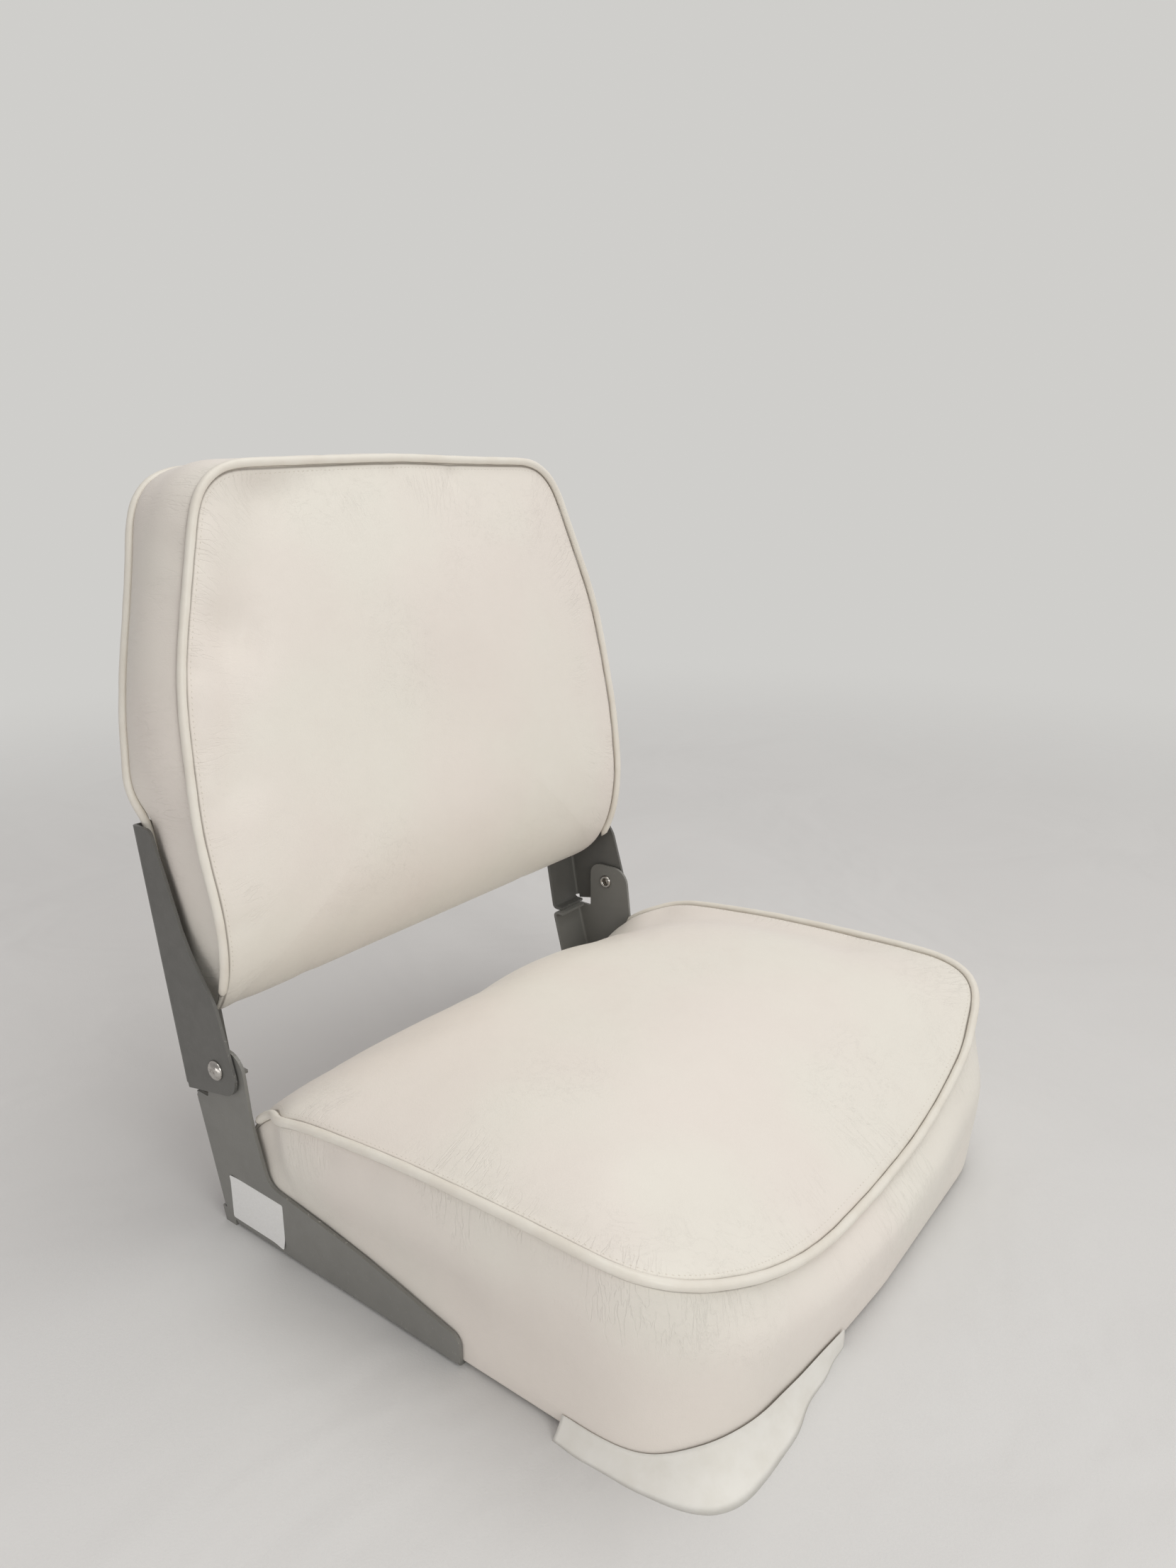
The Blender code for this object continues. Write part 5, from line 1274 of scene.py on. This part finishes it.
def build_tee_nuts(finishes):
    """Tee nuts in the bosses: round flange, barrel and a cut thread."""
    high = PAN_TOP - FIT
    low = high - TEE_FLANGE_THICKNESS
    profile = [(TEE_BARREL_RADIUS, TEE_BARREL_RECESS), (TEE_BARREL_RADIUS, low), (TEE_FLANGE_RADIUS, low),
               (TEE_FLANGE_RADIUS, high), (THREAD_RADIUS, high)]
    for k in range(1, TEE_THREAD_STEPS):
        deep = 0.00045 if k % 2 else 0.0
        profile.append((THREAD_RADIUS + deep, mix(high, TEE_BARREL_RECESS, k / TEE_THREAD_STEPS)))
    profile.append((THREAD_RADIUS + 0.0002, TEE_BARREL_RECESS))
    half = BOLT_SPACING / 2
    places = [Matrix.Translation((a * half, b * half, 0)) for a in (-1, 1) for b in (-1, 1)]
    nuts = lathe("tee_nuts", profile, 40, finishes["zinc"], "seat", places, ring=True)
    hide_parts(*(f"tee_nut_{number}" for number in (1, 2, 3, 4)))


def build_staples(cushion, finishes):
    """Wire staples that hold the cover's lap to the base, clear of the brackets' bottom flanges."""
    along = lengths_along(np.vstack([cushion.plan, cushion.plan[:1]]))
    chance = np.random.default_rng(21)
    points, faces = [], []
    for at in np.arange(STAPLE_START, along[-1] - STAPLE_START, STAPLE_PITCH):
        k = min(int(np.searchsorted(along, at)), len(cushion.plan) - 1)
        spot, normal = cushion.plan[k], cushion.normals[k]
        if spot[1] > ARM_CLEAR_Y and abs(spot[0]) > SEAT_HALF_WIDTH - FLANGE_WIDTH:
            continue
        middle = spot - normal * (SEAT_LAP * 0.62 + chance.uniform(-0.0008, 0.0008))
        turn = chance.uniform(-0.25, 0.25)
        run = np.array([-normal[1], normal[0]]) * math.cos(turn) + normal * math.sin(turn)
        across = np.array([run[1], -run[0], 0.0])
        faces += capped(len(points), len(STAPLE_LINE), 4)
        for number, (share, sink) in enumerate(STAPLE_LINE):
            point = np.array([*(middle + run * share * STAPLE_HALF), COVER_BOTTOM - STAPLE_WIRE * 0.6 + sink])
            flat_on = np.array([0.0, 0.0, 1.0]) if 1 < number < 4 else np.array([*run, 0.0])
            for a, b in ((-1.4, -0.6), (1.4, -0.6), (1.4, 0.6), (-1.4, 0.6)):
                points.append(point + (across * a + flat_on * b) * STAPLE_WIRE)
    staples = shown(built("lap_staples", points, faces), finishes["steel"], "seat", join=False, sharp=30)


def build_label(finishes):
    """Blank paper label on the near lower bracket, two corners lifting."""
    a, b = np.meshgrid(*(np.linspace(-1, 1, count) for count in LABEL_GRID))
    size = np.array((LABEL_WIDTH, LABEL_HEIGHT)) / 2
    spots = np.dstack([a, b]) * size
    over = np.maximum(np.abs(spots) - size + LABEL_ROUND, 0)
    pull = over.max(2, keepdims=True) / np.maximum(np.linalg.norm(over, axis=2, keepdims=True), 1e-12)
    rounded_off = np.copysign(size - LABEL_ROUND + over * pull, spots)
    spots = np.where((over > 0).all(2, keepdims=True), rounded_off, spots)
    lift = 0.0011 * smooth((-a - b - 1.35) / 0.65) ** 2 + 0.0005 * smooth((a + b - 1.5) / 0.5) ** 2
    faces_x = [-LOWER_OUTER_X - 0.00003 - thickness - lift for thickness in (0.0, LABEL_THICKNESS)]
    sides = [np.dstack([x, LABEL_Y + spots[:, :, 0], LABEL_Z + spots[:, :, 1]]) for x in faces_x]
    shown(built("blank_label", *slab(*sides)), finishes["label"], "seat", join=False, sharp=40)


def build_hem(cushion, finishes):
    """Loose strip of thin vinyl under one front corner, from the cover's lower edge to the ground."""
    run = cushion.plan[(cushion.plan[:, 0] < HEM_END_X) & (cushion.plan[:, 1] < HEM_START_Y)]
    run = run[np.argsort(np.arctan2(run[:, 0], -run[:, 1]))]
    run = np.vstack([[run[0, 0], HEM_START_Y], run])
    along = lengths_along(run)
    count = int(along[-1] / HEM_STEP)
    way = np.linspace(0, 1, count + 1)
    path = np.column_stack([np.interp(way * along[-1], along, run[:, k]) for k in (0, 1)])
    chords = np.gradient(path, axis=0)
    normals = unit(np.column_stack([chords[:, 1], -chords[:, 0]]))
    if ((path - path.mean(0)) * normals)[count // 2].sum() < 0:
        normals = -normals
    knots = np.linspace(0, 1, len(HEM_RISES))
    rises = through(knots, HEM_RISES, way)
    waver = 0.0007 * np.sin(way * 31) * smooth(way / 0.1) * smooth((1 - way) / 0.1)
    feet = 2 * FIT + through(knots, HEM_SPREADS, way) + waver
    level = SIDE_SHARES[1]
    wall = level * (cushion.seam_height(path) - COVER_BOTTOM)
    heads = cushion.bulge(path, normals, level) / wall * rises
    shares = np.linspace(0, 1, HEM_ROWS)
    middles = []
    for share in shares:
        out = mix(heads, feet, (1 - share) ** 1.5) + HEM_THICKNESS / 2
        middles.append(np.column_stack([path + normals * out[:, None], rises * share]))
    middles = np.array(middles)
    facing = unit(np.cross(np.gradient(middles, axis=1), np.gradient(middles, axis=0)))
    facing *= np.sign((facing[:, :, :2] * normals[None]).sum(-1).mean())
    half = HEM_THICKNESS / 2 * (1 - 0.75 * smooth((shares - 0.6) / 0.4))[:, None, None]
    outer, inner = middles + facing * half, middles - facing * half
    outer[0, :, 2] = inner[0, :, 2] = 0.0
    hem = shown(built("hem_strip", *slab(outer, inner)), finishes["hem"], "seat", join=False)
    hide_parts("cover_hem_strip")


def dress_nodes(nodes, finishes):
    """Give each CAD node that stays its finish, and the folded steel and the tray softer edges."""
    for name, node in nodes.items():
        for start, finish in NODE_FINISHES.items():
            if name.startswith(start):
                node.data.materials.clear()
                node.data.materials.append(finishes[finish])
        if name.startswith(SOFT_EDGED):
            weld = node.modifiers.new("weld", "WELD")
            weld.merge_threshold = TINY
            bevel = node.modifiers.new("edges", "BEVEL")
            bevel.width = 0.00045
            bevel.segments = 2
            bevel.limit_method = "ANGLE"
            bevel.angle_limit = math.radians(40)
            bevel.harden_normals = True


def main():
    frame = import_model()
    bpy.context.scene.view_settings.view_transform = "Standard"
    build_camera()
    build_lights()
    build_world()
    build_floor()
    finishes = all_finishes()
    dress_nodes(frame["nodes"], finishes)
    cushion = build_seat(finishes)
    build_back(finishes)
    build_hem(cushion, finishes)
    build_staples(cushion, finishes)
    build_rivets(finishes)
    build_screws(finishes)
    build_tee_nuts(finishes)
    build_label(finishes)
    bpy.context.view_layer.update()


main()
